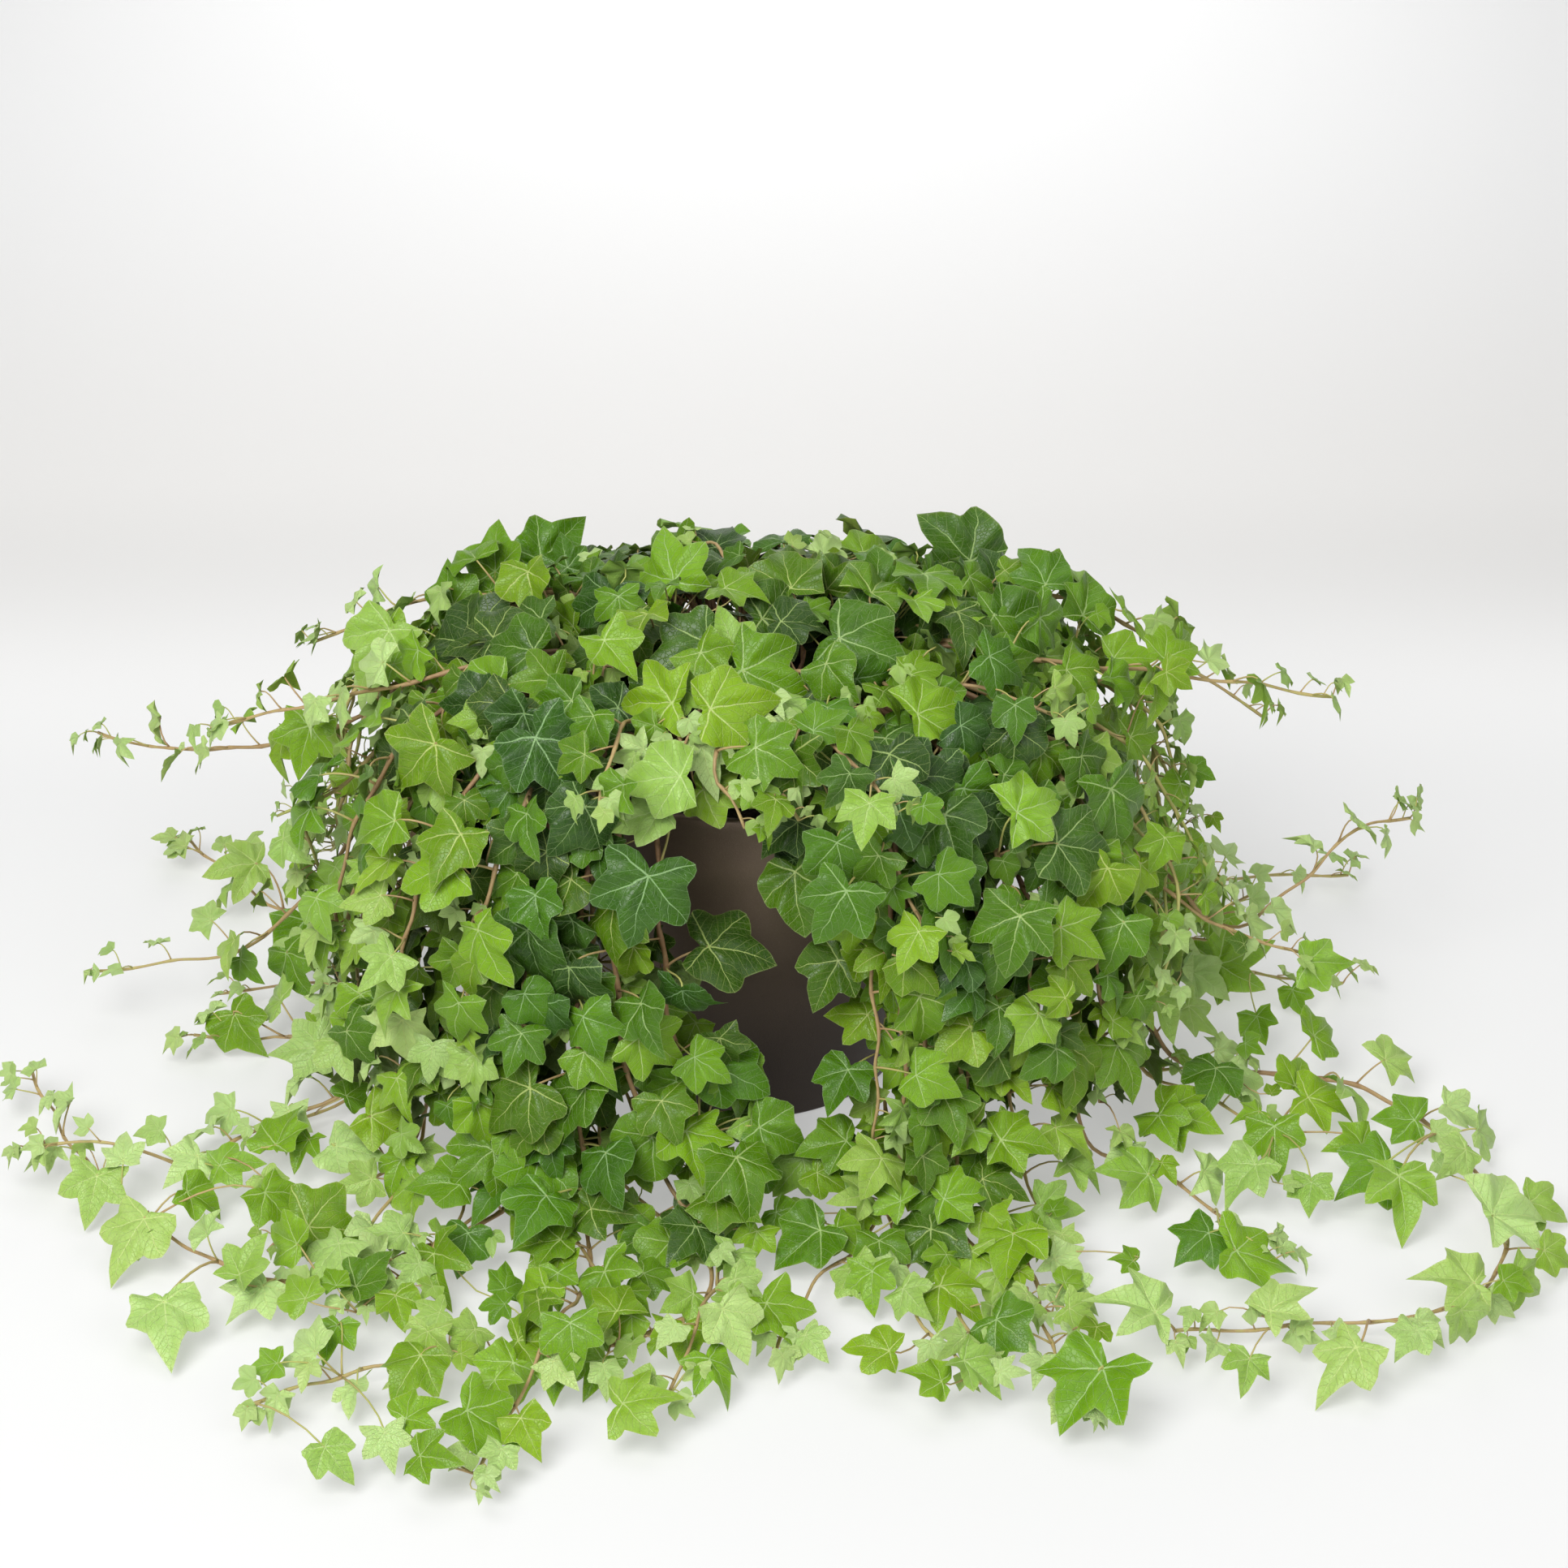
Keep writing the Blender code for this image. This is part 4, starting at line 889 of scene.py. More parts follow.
def try_leaf(plant, everyone, crowd, leaf, bare_share):
    """Adds a finer leaf if its blade clears the floor, the bare band, the mound's outline, all stems and
    all other blades. The leaf is its size, draws, blade point, axes, stem point, share of the way along
    its vine, and age. A bare share of 0 marks a single leaf, which may cover the bare band."""
    size, draws, point, axes, stem_point, share, age = leaf
    rim = point + outline(size, draws) @ axes
    lift = UP * max(0, FLOOR_CLEARANCE - rim[:, 2].min())
    point, rim = point + lift, rim + lift
    line = TOP_LINE if bare_share else TOP_TIPS
    if rim[:, 2].max() > CAD_BOX[1][2] + FINE_OVER_TOP or over_line(rim, line):
        return False
    if bare_share and in_bare_window(rim, bare_share):
        return False
    test = blade_test(rim, point, axes[2])
    if crowd.hit(point, size, test) or any(test.overlap(other["tree"]) for other in everyone):
        return False
    plant["leaves"].append((size, draws, point, axes, stem_point, share, age))
    crowd.add(point, size, test)
    return True


def age_of(plant, point, share, draw):
    """A leaf's age from 0 to 1: oldest high on the mound, younger on the floor, at the sides, most of
    all the left one, and at a vine's end."""
    youth = YOUNG_SHOOT if plant["name"].startswith(("shoot", "infill_fringe")) else plant["youth"]
    youth = YOUNG_VINES.get(plant["name"], youth)
    side = smooth(abs(point[0]), 0.13, 0.26) * AGE_OFF_SIDES[int(point[0] >= 0)]
    far = AGE_OFF_FLOOR[0] + AGE_OFF_FLOOR[1] * smooth(math.hypot(point[0], point[1]), 0.24, 0.44)
    low = far * (1 - smooth(point[2], 0.02, 0.24)) * (1 - 0.25 * smooth(-point[1], 0.10, 0.30))
    return float(np.clip(AGE_HIGH - low - side - AGE_OFF_TIP * share**2.2 - youth + AGE_DRAW * draw, 0, 1))


def set_fine_leaves(plants, fine, crowd):
    """Finer leaves at half pitch along the frame's vines and all along the finer ones."""
    waiting = stations(plants, LEAF_PITCH, FINE_PITCH) + stations(fine, 1.1 * FINE_PITCH, 0.0)
    waiting.sort(key=lambda row: row[0])
    for order, plant, share, mark, length in waiting:
        along, stem_point = place_on_stem(plant["path"], length, mark)
        size = size_along(plant, share, FINE_SIZES_ALONG)
        size *= FLOOR_GROWTH - (FLOOR_GROWTH - 1) * smooth(stem_point[2], 0.03, 0.12)
        at_side = smooth(abs(stem_point[0]), 0.15, 0.24) * (1 - smooth(stem_point[2], 0.24, 0.30))
        if plant["random"].random() < SIDE_THIN * at_side + FLOOR_THIN * (stem_point[2] < 0.03):
            continue
        for attempt in range(LEAF_TRIES):
            draws = plant["random"].uniform(-1, 1, 11)
            side = 1 if (order + attempt) % 2 else -1
            this = size * (1 + FINE_SIZE_SPREAD * draws[10]) * (1 - TRY_SHRINK * attempt)
            point, axes = leaf_pose(stem_point, along, side, this, draws, FINE_LOOSENESS)
            if not from_behind(point, stem_point, axes[2], FINE_BEHIND):
                continue
            leaf = (this, draws, point, axes, stem_point, share, age_of(plant, point, share, draws[6]))
            if try_leaf(plant, plants + fine, crowd, leaf, FINE_BARE_SHARE):
                break


def skin_mix(azimuth):
    """0 where the mound has its front section, 1 where it has the round one, and between them a mix."""
    low, high = SKIN_MIX
    t = np.clip((np.abs(from_front(azimuth)) - low) / (high - low), 0, 1)
    return t * t * (3 - 2 * t)


@functools.cache
def skin_sections():
    """The mound's two sections as rows of distance from the axis and height, about a pitch apart."""
    skins = FRONT_SKIN, ROUND_SKIN
    front, rest = (spline([(r, 0, z) for r, z in skin], SKIN_PITCH)[:, ::2] for skin in skins)
    count = min(len(front), len(rest))
    return front[:count], rest[:count]


def depth_of(point):
    """How deep a point lies under the mound's skin, in metres, and 0 outside it."""
    front, rest = skin_sections()
    mix = skin_mix(math.degrees(math.atan2(point[0], -point[1])))
    section = (1 - mix) * front + mix * rest
    marks = np.arange(0, len(section) - 1, 0.1)
    fine = np.stack([np.interp(marks, np.arange(len(section)), section[:, axis]) for axis in (0, 1)], 1)
    here = np.array([math.hypot(point[0], point[1]), point[2]])
    inside = here[1] < np.interp(here[0], fine[:, 0], fine[:, 1], right=0.0)
    return float(norm(fine - here, axis=1).min()) if inside else 0.0


def camera_axes():
    """The camera's place, and its directions to the right, up and back."""
    e = math.radians(CAMERA_ELEVATION)
    right = np.array([1.0, 0, 0])
    up = np.array([0, math.sin(e), math.cos(e)])
    back = np.array([0, -math.cos(e), math.sin(e)])
    return CAMERA_TARGET + CAMERA_DISTANCE * back, right, up, back


def sight_through(across, down):
    """The camera's place, and the direction through a pixel, one long along the camera's own axis."""
    eye, right, up, back = camera_axes()
    return eye, (across - IMAGE_SIDE / 2) / FOCAL * right - (down - IMAGE_SIDE / 2) / FOCAL * up - back


def seen_on_skin(across, down):
    """Where the line of sight through a pixel meets the mound's skin: marched along in millimetres
    until its height is under the skin's at that azimuth and distance from the axis. A line that passes
    over the mound gives its point nearest above the skin."""
    eye, sight = sight_through(across, down)
    points = eye + np.arange(1.4, 3.2, 0.001)[:, None] * sight
    reach = np.hypot(points[:, 0], points[:, 1])
    mix = skin_mix(np.degrees(np.arctan2(points[:, 0], -points[:, 1])))
    heights = [np.interp(reach, *zip(*skin), right=SKIN_FOOT) for skin in (FRONT_SKIN, ROUND_SKIN)]
    clear = points[:, 2] - np.maximum((1 - mix) * heights[0] + mix * heights[1], SKIN_FOOT)
    over = np.where(reach < SKIN_REACH, clear, 9.0)
    passes = over.min() > 0 and points[int(np.argmax(clear < 0))][1] > 0
    return points[int(np.argmin(over) if passes else np.argmax(clear < 0))]


def beside_stem(across, down, stems):
    """The place on a pixel's line of sight that comes nearest to a stem."""
    eye, sight = sight_through(across, down)
    sight = unit(sight)
    along = (stems - eye) @ sight
    gap = norm(stems - eye - along[:, None] * sight, axis=1)
    return eye + along[int(np.argmin(gap))] * sight


def nearest_stem(point, normal, stems, least):
    """The nearest stem point from which a petiole comes up behind the blade, or nothing."""
    way = point - stems
    span = norm(way, axis=1)
    fits = (way @ normal > FINE_BEHIND * span) & (span < LONGEST_PETIOLE) & (span > least)
    return int(np.argmin(np.where(fits, span, 9.0))) if fits.any() else None


def all_stems(everyone):
    """Every vine's stem points, with each one's vine and its share of the way along it."""
    stems = np.vstack([plant["path"] for plant in everyone])
    owner = np.concatenate([np.full(len(plant["path"]), i) for i, plant in enumerate(everyone)])
    place = np.concatenate([np.linspace(0, 1, len(plant["path"])) for plant in everyone])
    return stems, owner, place


def set_face_leaves(everyone, crowd):
    """The single leaves, on the mound's skin or over the floor, facing out and to the camera."""
    random = np.random.default_rng(91)
    stems, owner, place = all_stems(everyone)
    eye, right, up, back = camera_axes()
    rows = FACE_LEAVES + tuple((*row, SIDE_TURN) for row in SIDE_LEAVES)
    rows += tuple((*row, FLOOR_TURN) for row in FLOOR_LEAVES)
    for x, y, across, down, percent, turned_up in rows:
        spot = seen_on_skin(x, y)
        if norm(stems - spot, axis=1).min() > LONGEST_PETIOLE:
            spot = beside_stem(x, y, stems)
        on_floor = spot[2] < 1.5 * SKIN_FOOT
        outward = UP if on_floor else unit(spot * (1, 1, 0) / 0.2 + UP * spot[2] / 0.3)
        age = percent / 100
        if not on_floor:
            age += RIPER * (1 - age)
        a = math.radians(turned_up)
        facing = math.cos(a) * back + math.sin(a) * up
        run = across * right - down * up
        size = math.hypot(across, down) / FOCAL * ((eye - spot) @ back)
        for attempt in range(FACE_TRIES):
            draws = random.uniform(-1, 1, 11)
            draws[4], draws[6] = 0.6 * draws[4], 0.4 * draws[6]
            turn = FACE_SPREAD[0] * draws[7] * right + FACE_SPREAD[1] * draws[8] * up
            loose = 1.0 if (x, y) in FACE_SPOTS else LOOSE_FACE
            normal = unit(FACE_MIX[0] * outward + FACE_MIX[1] * facing + loose * turn)
            axes = blade_axes(run, normal)
            shift = FACE_SHIFT * (attempt >= len(FACE_OFFSETS)) * (draws[9] * right + draws[5] * up)
            point = spot + FACE_OFFSETS[attempt % len(FACE_OFFSETS)] * back + shift
            near = nearest_stem(point, normal, stems, 0.3 * size)
            if near is None:
                continue
            leaf = (size, draws, point, axes, stems[near], float(place[near]), age)
            if try_leaf(everyone[owner[near]], everyone, crowd, leaf, 0.0):
                break


def skin_spots():
    """Points spread evenly over the mound's skin, with the skin's outward normal at each."""
    random = np.random.default_rng(31)
    spots = []
    front, rest = skin_sections()
    count = len(front)
    for k in range(count):
        ring = max(3, round(2 * math.pi * rest[k][0] / SKIN_PITCH))
        for i in range(ring):
            azimuth = 360 * (i + 0.5 * (k % 2) + random.uniform(-0.3, 0.3)) / ring
            away = skin_mix(azimuth)
            section = (1 - away) * front + away * rest
            here = section[k]
            run = section[min(k + 1, count - 1)] - section[max(k - 1, 0)]
            radial = polar(azimuth, 1, 0)
            normal = unit(radial * -run[1] + UP * run[0])
            spots.append((here[0] * radial + UP * here[1], normal))
    random.shuffle(spots)
    return spots


def cover_skin(everyone, crowd):
    """Where the mound's skin shows no leaf yet, a leaf on a long petiole from the nearest stem below."""
    random = np.random.default_rng(57)
    stems, owner, place = all_stems(everyone)
    for spot, outward in skin_spots():
        side = skin_mix(math.degrees(math.atan2(spot[0], -spot[1])))
        loose = SKIN_LOOSENESS[0] + SKIN_LOOSENESS[1] * side
        if random.random() < SKIN_OPEN * (0.2 + 0.8 * side * (1 - smooth(spot[2], 0.24, 0.31))):
            continue
        for attempt in range(SKIN_TRIES):
            draws = random.uniform(-1, 1, 11)
            size = np.interp(draws[10], *SKIN_LEAF) * (1 - 0.03 * attempt)
            across = unit(np.cross(UP, outward) + 1e-6)
            turn = 0.50 * draws[7] * across + 0.42 * draws[8] * UP
            normal = unit(outward + (0, -0.20, 0.16) + loose * turn)
            fall = -UP + 0.35 * outward + 1.1 * loose * draws[9] * across
            axes = blade_axes(fall, normal)
            sunk = 0.010 * loose * draws[5] - 0.005 * attempt
            point = spot - 0.35 * size * axes[1] + sunk * outward + 0.008 * draws[6] * across
            near = nearest_stem(point, normal, stems, 0.4 * size)
            if near is None:
                continue
            plant = everyone[owner[near]]
            share = float(min(place[near], 0.7))
            leaf = (size, draws, point, axes, stems[near], share, age_of(plant, point, share, draws[6]))
            if try_leaf(plant, everyone, crowd, leaf, FINE_BARE_SHARE):
                break


@functools.cache
def grown():
    """The frame's vines with their leaves exactly where the frame has them, then finer leaves between
    them and the finer vines. Returns the frame's vines and the finer ones."""
    plants = []
    for index, row in enumerate(vines()):
        plants.append(plant_of(*row, 200 + index, plants, True))
    crowd = Crowd()
    set_leaves(stations(plants, LEAF_PITCH, 0.0), plants, crowd, TEST_LEAF_GROWTH, TEST_HALF_THICKNESS)
    fine = []
    for index, row in enumerate(infill_vines()):
        plant = plant_of("infill_" + row[0], *row[1:], 500 + index, plants + fine, False)
        if not in_bare_window(plant["path"]):
            fine.append(plant)
    set_face_leaves(plants + fine, crowd)
    set_fine_leaves(plants, fine, crowd)
    cover_skin(plants + fine, crowd)
    return plants, fine


@functools.cache
def leaf_faces(count, rings):
    """Triangles of a closed blade of count points round and this many rings: the top is a fan and bands
    from point 0 outwards, the underside is the same turned over, and they share the outermost ring."""
    i = np.arange(count)
    j = (i + 1) % count
    top = [1 + k * count + i for k in range(rings)]
    under_centre = 1 + rings * count
    under = [under_centre + 1 + k * count + i for k in range(rings - 1)] + [top[-1]]
    faces = []
    for centre, loops, turned in ((0, top, False), (under_centre, under, True)):
        rows = [np.stack([np.full(count, centre), loops[0][j], loops[0]], 1)]
        for inner, outer in zip(loops[:-1], loops[1:]):
            rows.append(np.stack([inner, inner[j], outer[j]], 1))
            rows.append(np.stack([inner, outer[j], outer], 1))
        side = np.vstack(rows)
        faces.append(side[:, ::-1] if turned else side)
    return faces[0], faces[1]


def leaf_edge(lobes, roundness, steps):
    """Angles round the leaf and the edge's distance at each. Between a lobe's tip and the notch beside
    it the edge mixes a slightly bulged straight line, r1 r2 sin(a) / (r1 sin(t) + r2 sin(a-t)), with a
    half cosine that rounds both ends. The middle lobe stays nearly straight and pointed."""
    angle, reach = np.array(lobes, float).T
    u = np.arange(steps) / steps
    first, last = reach[:-1, None], reach[1:, None]
    wide = np.radians(angle[1:] - angle[:-1])[:, None]
    line = first * last * np.sin(wide) / (first * np.sin(wide * u) + last * np.sin(wide * (1 - u)))
    line = line * (1 + 0.05 * np.sin(np.pi * u))
    wave = last + (first - last) * (0.5 + 0.5 * np.cos(np.pi * u))
    round_share = np.where(np.arange(len(reach) - 1) < 1, 0.10, roundness)[:, None]
    turn = (angle[:-1, None] + (angle[1:] - angle[:-1])[:, None] * u).ravel()
    out = ((1 - round_share) * line + round_share * wave).ravel()
    turn = np.append(turn, 180.0)
    out = np.append(out, reach[-1])
    return np.radians(np.append(turn, -turn[-2:0:-1])), np.append(out, out[-2:0:-1])


def leaf_part(leaf, tone, thickness, quilt, ripple):
    """A blade as a closed shell. Ring k lies at its share of the edge's distance on the frame's own
    surface, raised between the main veins by a sine squared and rippled towards the edge."""
    size, draws, blade_point, axes, _, _, age = leaf
    # How much painted shade the blade gets, from its depth under the mound's skin
    shade = smooth(depth_of(blade_point), *PAINTED_SHADE_DEPTH)
    seen = size * (1 - 0.6 * shade)
    steps, rings = next((s, np.array(r)) for least, s, r in LEAF_DETAIL if seen >= least)
    lobes = fine_lobes(size, draws, age)
    angle, edge = leaf_edge(lobes, ROUNDNESS[0] + ROUNDNESS[1] * age, steps)
    scallop = SCALLOP * np.sin(SCALLOPS * np.abs(angle) + 7 * draws[4]) * (np.abs(angle) < 2.6)
    edge = edge * (1 + 0.07 * draws[1] * np.sin(angle) + scallop)
    count = len(angle)
    reach = rings[:, None] * edge
    place = blade_surface(angle[None, :] + 0 * reach, reach, draws)
    veins = np.array([a for a, _ in lobes if a not in FINE_NOTCHES], float)
    turn = np.abs(np.degrees(angle))
    between = np.clip(np.searchsorted(veins, turn, side="right") - 1, 0, len(veins) - 2)
    gone = (turn - veins[between]) / (veins[between + 1] - veins[between])
    bulge = quilt * np.sin(np.pi * gone) ** 2 * rings[:, None] * (1.25 - rings[:, None])
    rolled = ripple * rings[:, None] ** 3 * np.sin(RIPPLES * angle + 9 * draws[4]) * (turn < 150)
    curled = (CURL[0] + CURL[1] * draws[6]) * np.clip(reach - CURL_FROM, 0, 1) ** 2
    twisted = TWIST * draws[8] * place[:, :, 0] * place[:, :, 1]
    folded = FOLD * draws[5] * np.abs(place[:, :, 0])
    place[:, :, 2] += bulge + rolled - curled + twisted + folded
    under = place[:-1] - [0, 0, 1] * np.array(thickness / size * (1 - rings[:-1] ** 6))[:, None, None]
    flat = np.vstack([[0, 0, 0], place.reshape(-1, 3), [0, 0, -thickness / size], under.reshape(-1, 3)])
    top_faces, under_faces = leaf_faces(count, len(rings))
    ribs = (*RIBS[:len(veins) - 1], 180)
    straight = np.radians(np.interp(turn, veins, ribs))
    chart = reach[:, :, None] * np.stack([np.sign(angle) * np.sin(straight), np.cos(straight)], -1)[None]
    chart = chart.reshape(-1, 2)
    out = np.repeat(rings, count)
    whole = count * len(rings)
    inner = count * (len(rings) - 1)
    points = blade_point + size * flat @ axes
    points[:, 2] += max(0, LEAST_HEIGHT - points[:, 2].min())
    return {
        "points": points,
        "faces": np.vstack([top_faces, under_faces]),
        "finish": np.repeat([TOP_FACE, UNDER_FACE], [len(top_faces), len(under_faces)]),
        "chart": np.vstack([[0, 0], chart, [0, 0], chart[:inner]]),
        "reach": np.concatenate([[0], out, [0], out[:inner]]),
        "rim": np.concatenate([np.zeros(1 + inner), np.ones(whole - inner), np.zeros(1 + inner)]),
        "age": age,
        "tone": tone,
        "shade": shade,
    }


def reference_directions():
    """Thirteen directions spread over half a sphere: the neighbours of a cube's middle, one of each pair."""
    grid = np.array([(x, y, z) for x in (-1, 0, 1) for y in (-1, 0, 1) for z in (-1, 0, 1)], float)
    return unit_rows(grid[14:])


REFERENCES = reference_directions()


def tube_part(path, radius, sides, age, tone):
    """A closed round tube along a path. Ring k is its point plus radius times cosine and sine of the
    angle on two directions across the path, worked out against the reference that the path least
    follows. Each end closes in a point."""
    along = unit_rows(np.gradient(path, axis=0))
    reference = REFERENCES[np.argmin(np.abs(along @ REFERENCES.T).max(0))]
    first = unit_rows(np.cross(along, reference))
    second = np.cross(along, first)
    angle = 2 * np.pi * np.arange(sides) / sides
    ring = (np.cos(angle)[None, :, None] * first[:, None] + np.sin(angle)[None, :, None] * second[:, None])
    points = (path[:, None] + np.asarray(radius)[:, None, None] * ring).reshape(-1, 3)
    rows = len(path)
    k = np.arange(sides)
    n = (k + 1) % sides
    base = (np.arange(rows - 1) * sides)[:, None]
    a, b, c, d = (corner.ravel() for corner in (base + k, base + n, base + sides + n, base + sides + k))
    start, end = rows * sides, rows * sides + 1
    last = (rows - 1) * sides
    faces = np.vstack([
        np.stack([a, b, c], 1), np.stack([a, c, d], 1),
        np.stack([np.full(sides, start), n, k], 1), np.stack([np.full(sides, end), last + k, last + n], 1)])
    gone = np.linspace(0, 1, rows)
    return {
        "points": np.vstack([points, path[0], path[-1]]),
        "faces": faces,
        "finish": np.full(len(faces), STEM_FACE),
        "chart": np.zeros((rows * sides + 2, 2)),
        "reach": np.concatenate([np.repeat(gone, sides), [0, 1]]),
        "rim": 0.0,
        "age": np.concatenate([np.repeat(age, sides), [age[0], age[-1]]]),
        "tone": tone,
        "shade": smooth(depth_of(path[len(path) // 2]), *PAINTED_SHADE_DEPTH),
    }


def stem_path(plant):
    """The vine's smooth centre line, from the bottom of its hole to its tip, with a slight wander."""
    path = spline(plant["route"], FINE_STEP)
    length = lengths_along(path)
    random = plant["random"]
    phase, cycle = random.uniform(0, 6.28, 3), random.uniform(0.045, 0.080, 3)
    sway = 0.0014 * np.sin(length[:, None] * 2 * np.pi / cycle + phase)
    sway = sway * np.clip(length / 0.03, 0, 1)[:, None]
    path = path + sway * (1, 1, 0.5)
    path[:, 2] = np.maximum(path[:, 2], 1.4 * STEM_RADIUS + LEAST_HEIGHT)
    return np.vstack([plant["stem"][0], path])


def petiole_path(root, blade_point, axes, steps, over):
    """A cubic curve from the stem to the blade: it leaves towards the blade's face and comes in from
    below and behind the blade's base. Over is 1 where it arches out and comes in from the face's side."""
    span = norm(blade_point - root)
    chord = unit(blade_point - root)
    leave = unit(chord + (0.45 + 0.75 * over) * axes[2] - 0.25 * axes[1])
    arrive = unit((0.55 - 0.95 * over) * axes[2] + 0.75 * axes[1] + 0.35 * chord)
    control = np.array([root, root + 0.36 * span * leave, blade_point - 0.34 * span * arrive, blade_point])
    t = np.linspace(0, 1, steps)[:, None]
    weights = np.hstack([(1 - t) ** 3, 3 * t * (1 - t) ** 2, 3 * t**2 * (1 - t), t**3])
    return weights @ control


def vine_parts(plant, leaf):
    """A vine's stem, with a swelling at each leaf, its petioles, its blades and the tuft at its tip."""
    random = plant["random"]
    path = stem_path(plant)
    length = lengths_along(path)
    share = length / length[-1]
    radius = STEM_RADIUS + (STEM_TIP_RADIUS * 0.7 - STEM_RADIUS) * share
    leaves = list(plant["leaves"]) + tip_tuft(plant, path, length)
    parts = []
    marks = []
    for one in leaves:
        size, draws, blade_point, axes, stem_point, _, _ = one
        nearest = int(np.argmin(norm(path - stem_point, axis=1)))
        marks.append(length[nearest])
        tone = float(random.uniform(-1, 1))
        parts.append(leaf_part(one, tone, leaf.thickness, leaf.quilt, leaf.ripple))
        large = int(size > SMALL_LEAF)
        steps = PETIOLE_STEPS[large]
        over = smooth(abs(blade_point[0]), 0.12, 0.19) * (draws[9] > -0.2)
        stalk = petiole_path(path[nearest], blade_point - 0.5 * leaf.thickness * axes[2], axes, steps, over)
        thin = PETIOLE_THICKNESS[0] + PETIOLE_THICKNESS[1] * size
        stalk[:, 2] = np.maximum(stalk[:, 2], 1.3 * thin + LEAST_HEIGHT)
        taper = thin * np.interp(np.linspace(0, 1, steps), (0, 0.15, 0.8, 1), (1.25, 1.0, 0.80, 0.95))
        wood = np.linspace(*PETIOLE_WOOD, steps) + 0.12 * tone
        parts.append(tube_part(stalk, taper, PETIOLE_SIDES[large], wood, tone))
    swell = np.exp(-((length[:, None] - np.array(marks)[None, :]) / SWELLING_LENGTH) ** 2).sum(1)
    radius = radius * (1 + SWELLING * np.minimum(swell, 1.2))
    wood = FRINGE_WOOD if "fringe" in plant["name"] else STEM_WOOD
    wood = np.clip(wood - STEM_WOOD_FALL * share, 0, 1)
    parts.append(tube_part(path, radius, STEM_SIDES, wood, float(random.uniform(-1, 1))))
    return parts


def tip_tuft(plant, path, length):
    """Two or three tiny new leaves round a vine's tip."""
    random = plant["random"]
    made = []
    for order, (back, part) in enumerate(TIP_TUFT):
        at = int(np.searchsorted(length, length[-1] - back)) - 1
        along = unit(path[at + 1] - path[at])
        draws = random.uniform(-1, 1, 11)
        size = part * plant["size"] * (1 + 0.15 * draws[10])
        point, axes = leaf_pose(path[at], along, 1 if order % 2 else -1, size, draws)
        tip = unit(axes[1] + 0.9 * along - axes[2] * (along @ axes[2]) * 0.9)
        axes = np.stack([np.cross(tip, axes[2]), tip, axes[2]])
        rim = point + outline(size, draws) @ axes
        point = point + UP * max(0, FLOOR_CLEARANCE - rim[:, 2].min())
        if not in_bare_window(rim):
            made.append((size, draws, point, axes, path[at], 1.0, 0.12 + 0.10 * draws[6]))
    return made


def scene_object(name, data):
    """A new object with this mesh, light or camera, linked to the scene."""
    made = bpy.data.objects.new(name, data)
    bpy.context.scene.collection.objects.link(made)
    return made


def on_points(parts, key):
    """A measure of every part on all of its points, also where the part gives one number for all."""
    return np.concatenate([np.broadcast_to(part[key], len(part["points"])) for part in parts])


def mesh_object(name, parts, finishes):
    """One mesh from many parts: points, triangles, the leaf chart as a UV map, and the leaf attributes."""
    counts = [len(part["points"]) for part in parts]
    starts = np.concatenate([[0], np.cumsum(counts)[:-1]]).astype(int)
    points = np.vstack([part["points"] for part in parts])
    faces = np.vstack([part["faces"] + start for part, start in zip(parts, starts)])
    mesh = bpy.data.meshes.new(name)
    mesh.vertices.add(len(points))
    mesh.vertices.foreach_set("co", points.astype(np.float32).ravel())
    mesh.loops.add(faces.size)
    mesh.loops.foreach_set("vertex_index", faces.astype(np.int32).ravel())
    mesh.polygons.add(len(faces))
    mesh.polygons.foreach_set("loop_start", np.arange(0, faces.size, 3, dtype=np.int32))
    indices = np.concatenate([part["finish"] for part in parts]).astype(np.int32)
    mesh.polygons.foreach_set("material_index", indices)
    mesh.polygons.foreach_set("use_smooth", np.ones(len(faces), bool))
    mesh.update(calc_edges=True)
    chart = np.vstack([part["chart"] for part in parts])[faces.ravel()]
    mesh.uv_layers.new(name="leaf_chart").data.foreach_set("uv", chart.astype(np.float32).ravel())
    for key in ("age", "tone", "reach", "shade"):
        values = on_points(parts, key).astype(np.float32)
        mesh.attributes.new("leaf_" + key, "FLOAT", "POINT").data.foreach_set("value", values)
    rim = on_points(parts, "rim") > 0.5
    ends = np.zeros(2 * len(mesh.edges), np.int32)
    mesh.edges.foreach_get("vertices", ends)
    sharp = rim[ends.reshape(-1, 2)].all(1)
    mesh.attributes.new("sharp_edge", "BOOLEAN", "EDGE").data.foreach_set("value", sharp)
    for finish in finishes:
        mesh.materials.append(finish)
    return scene_object(name, mesh)


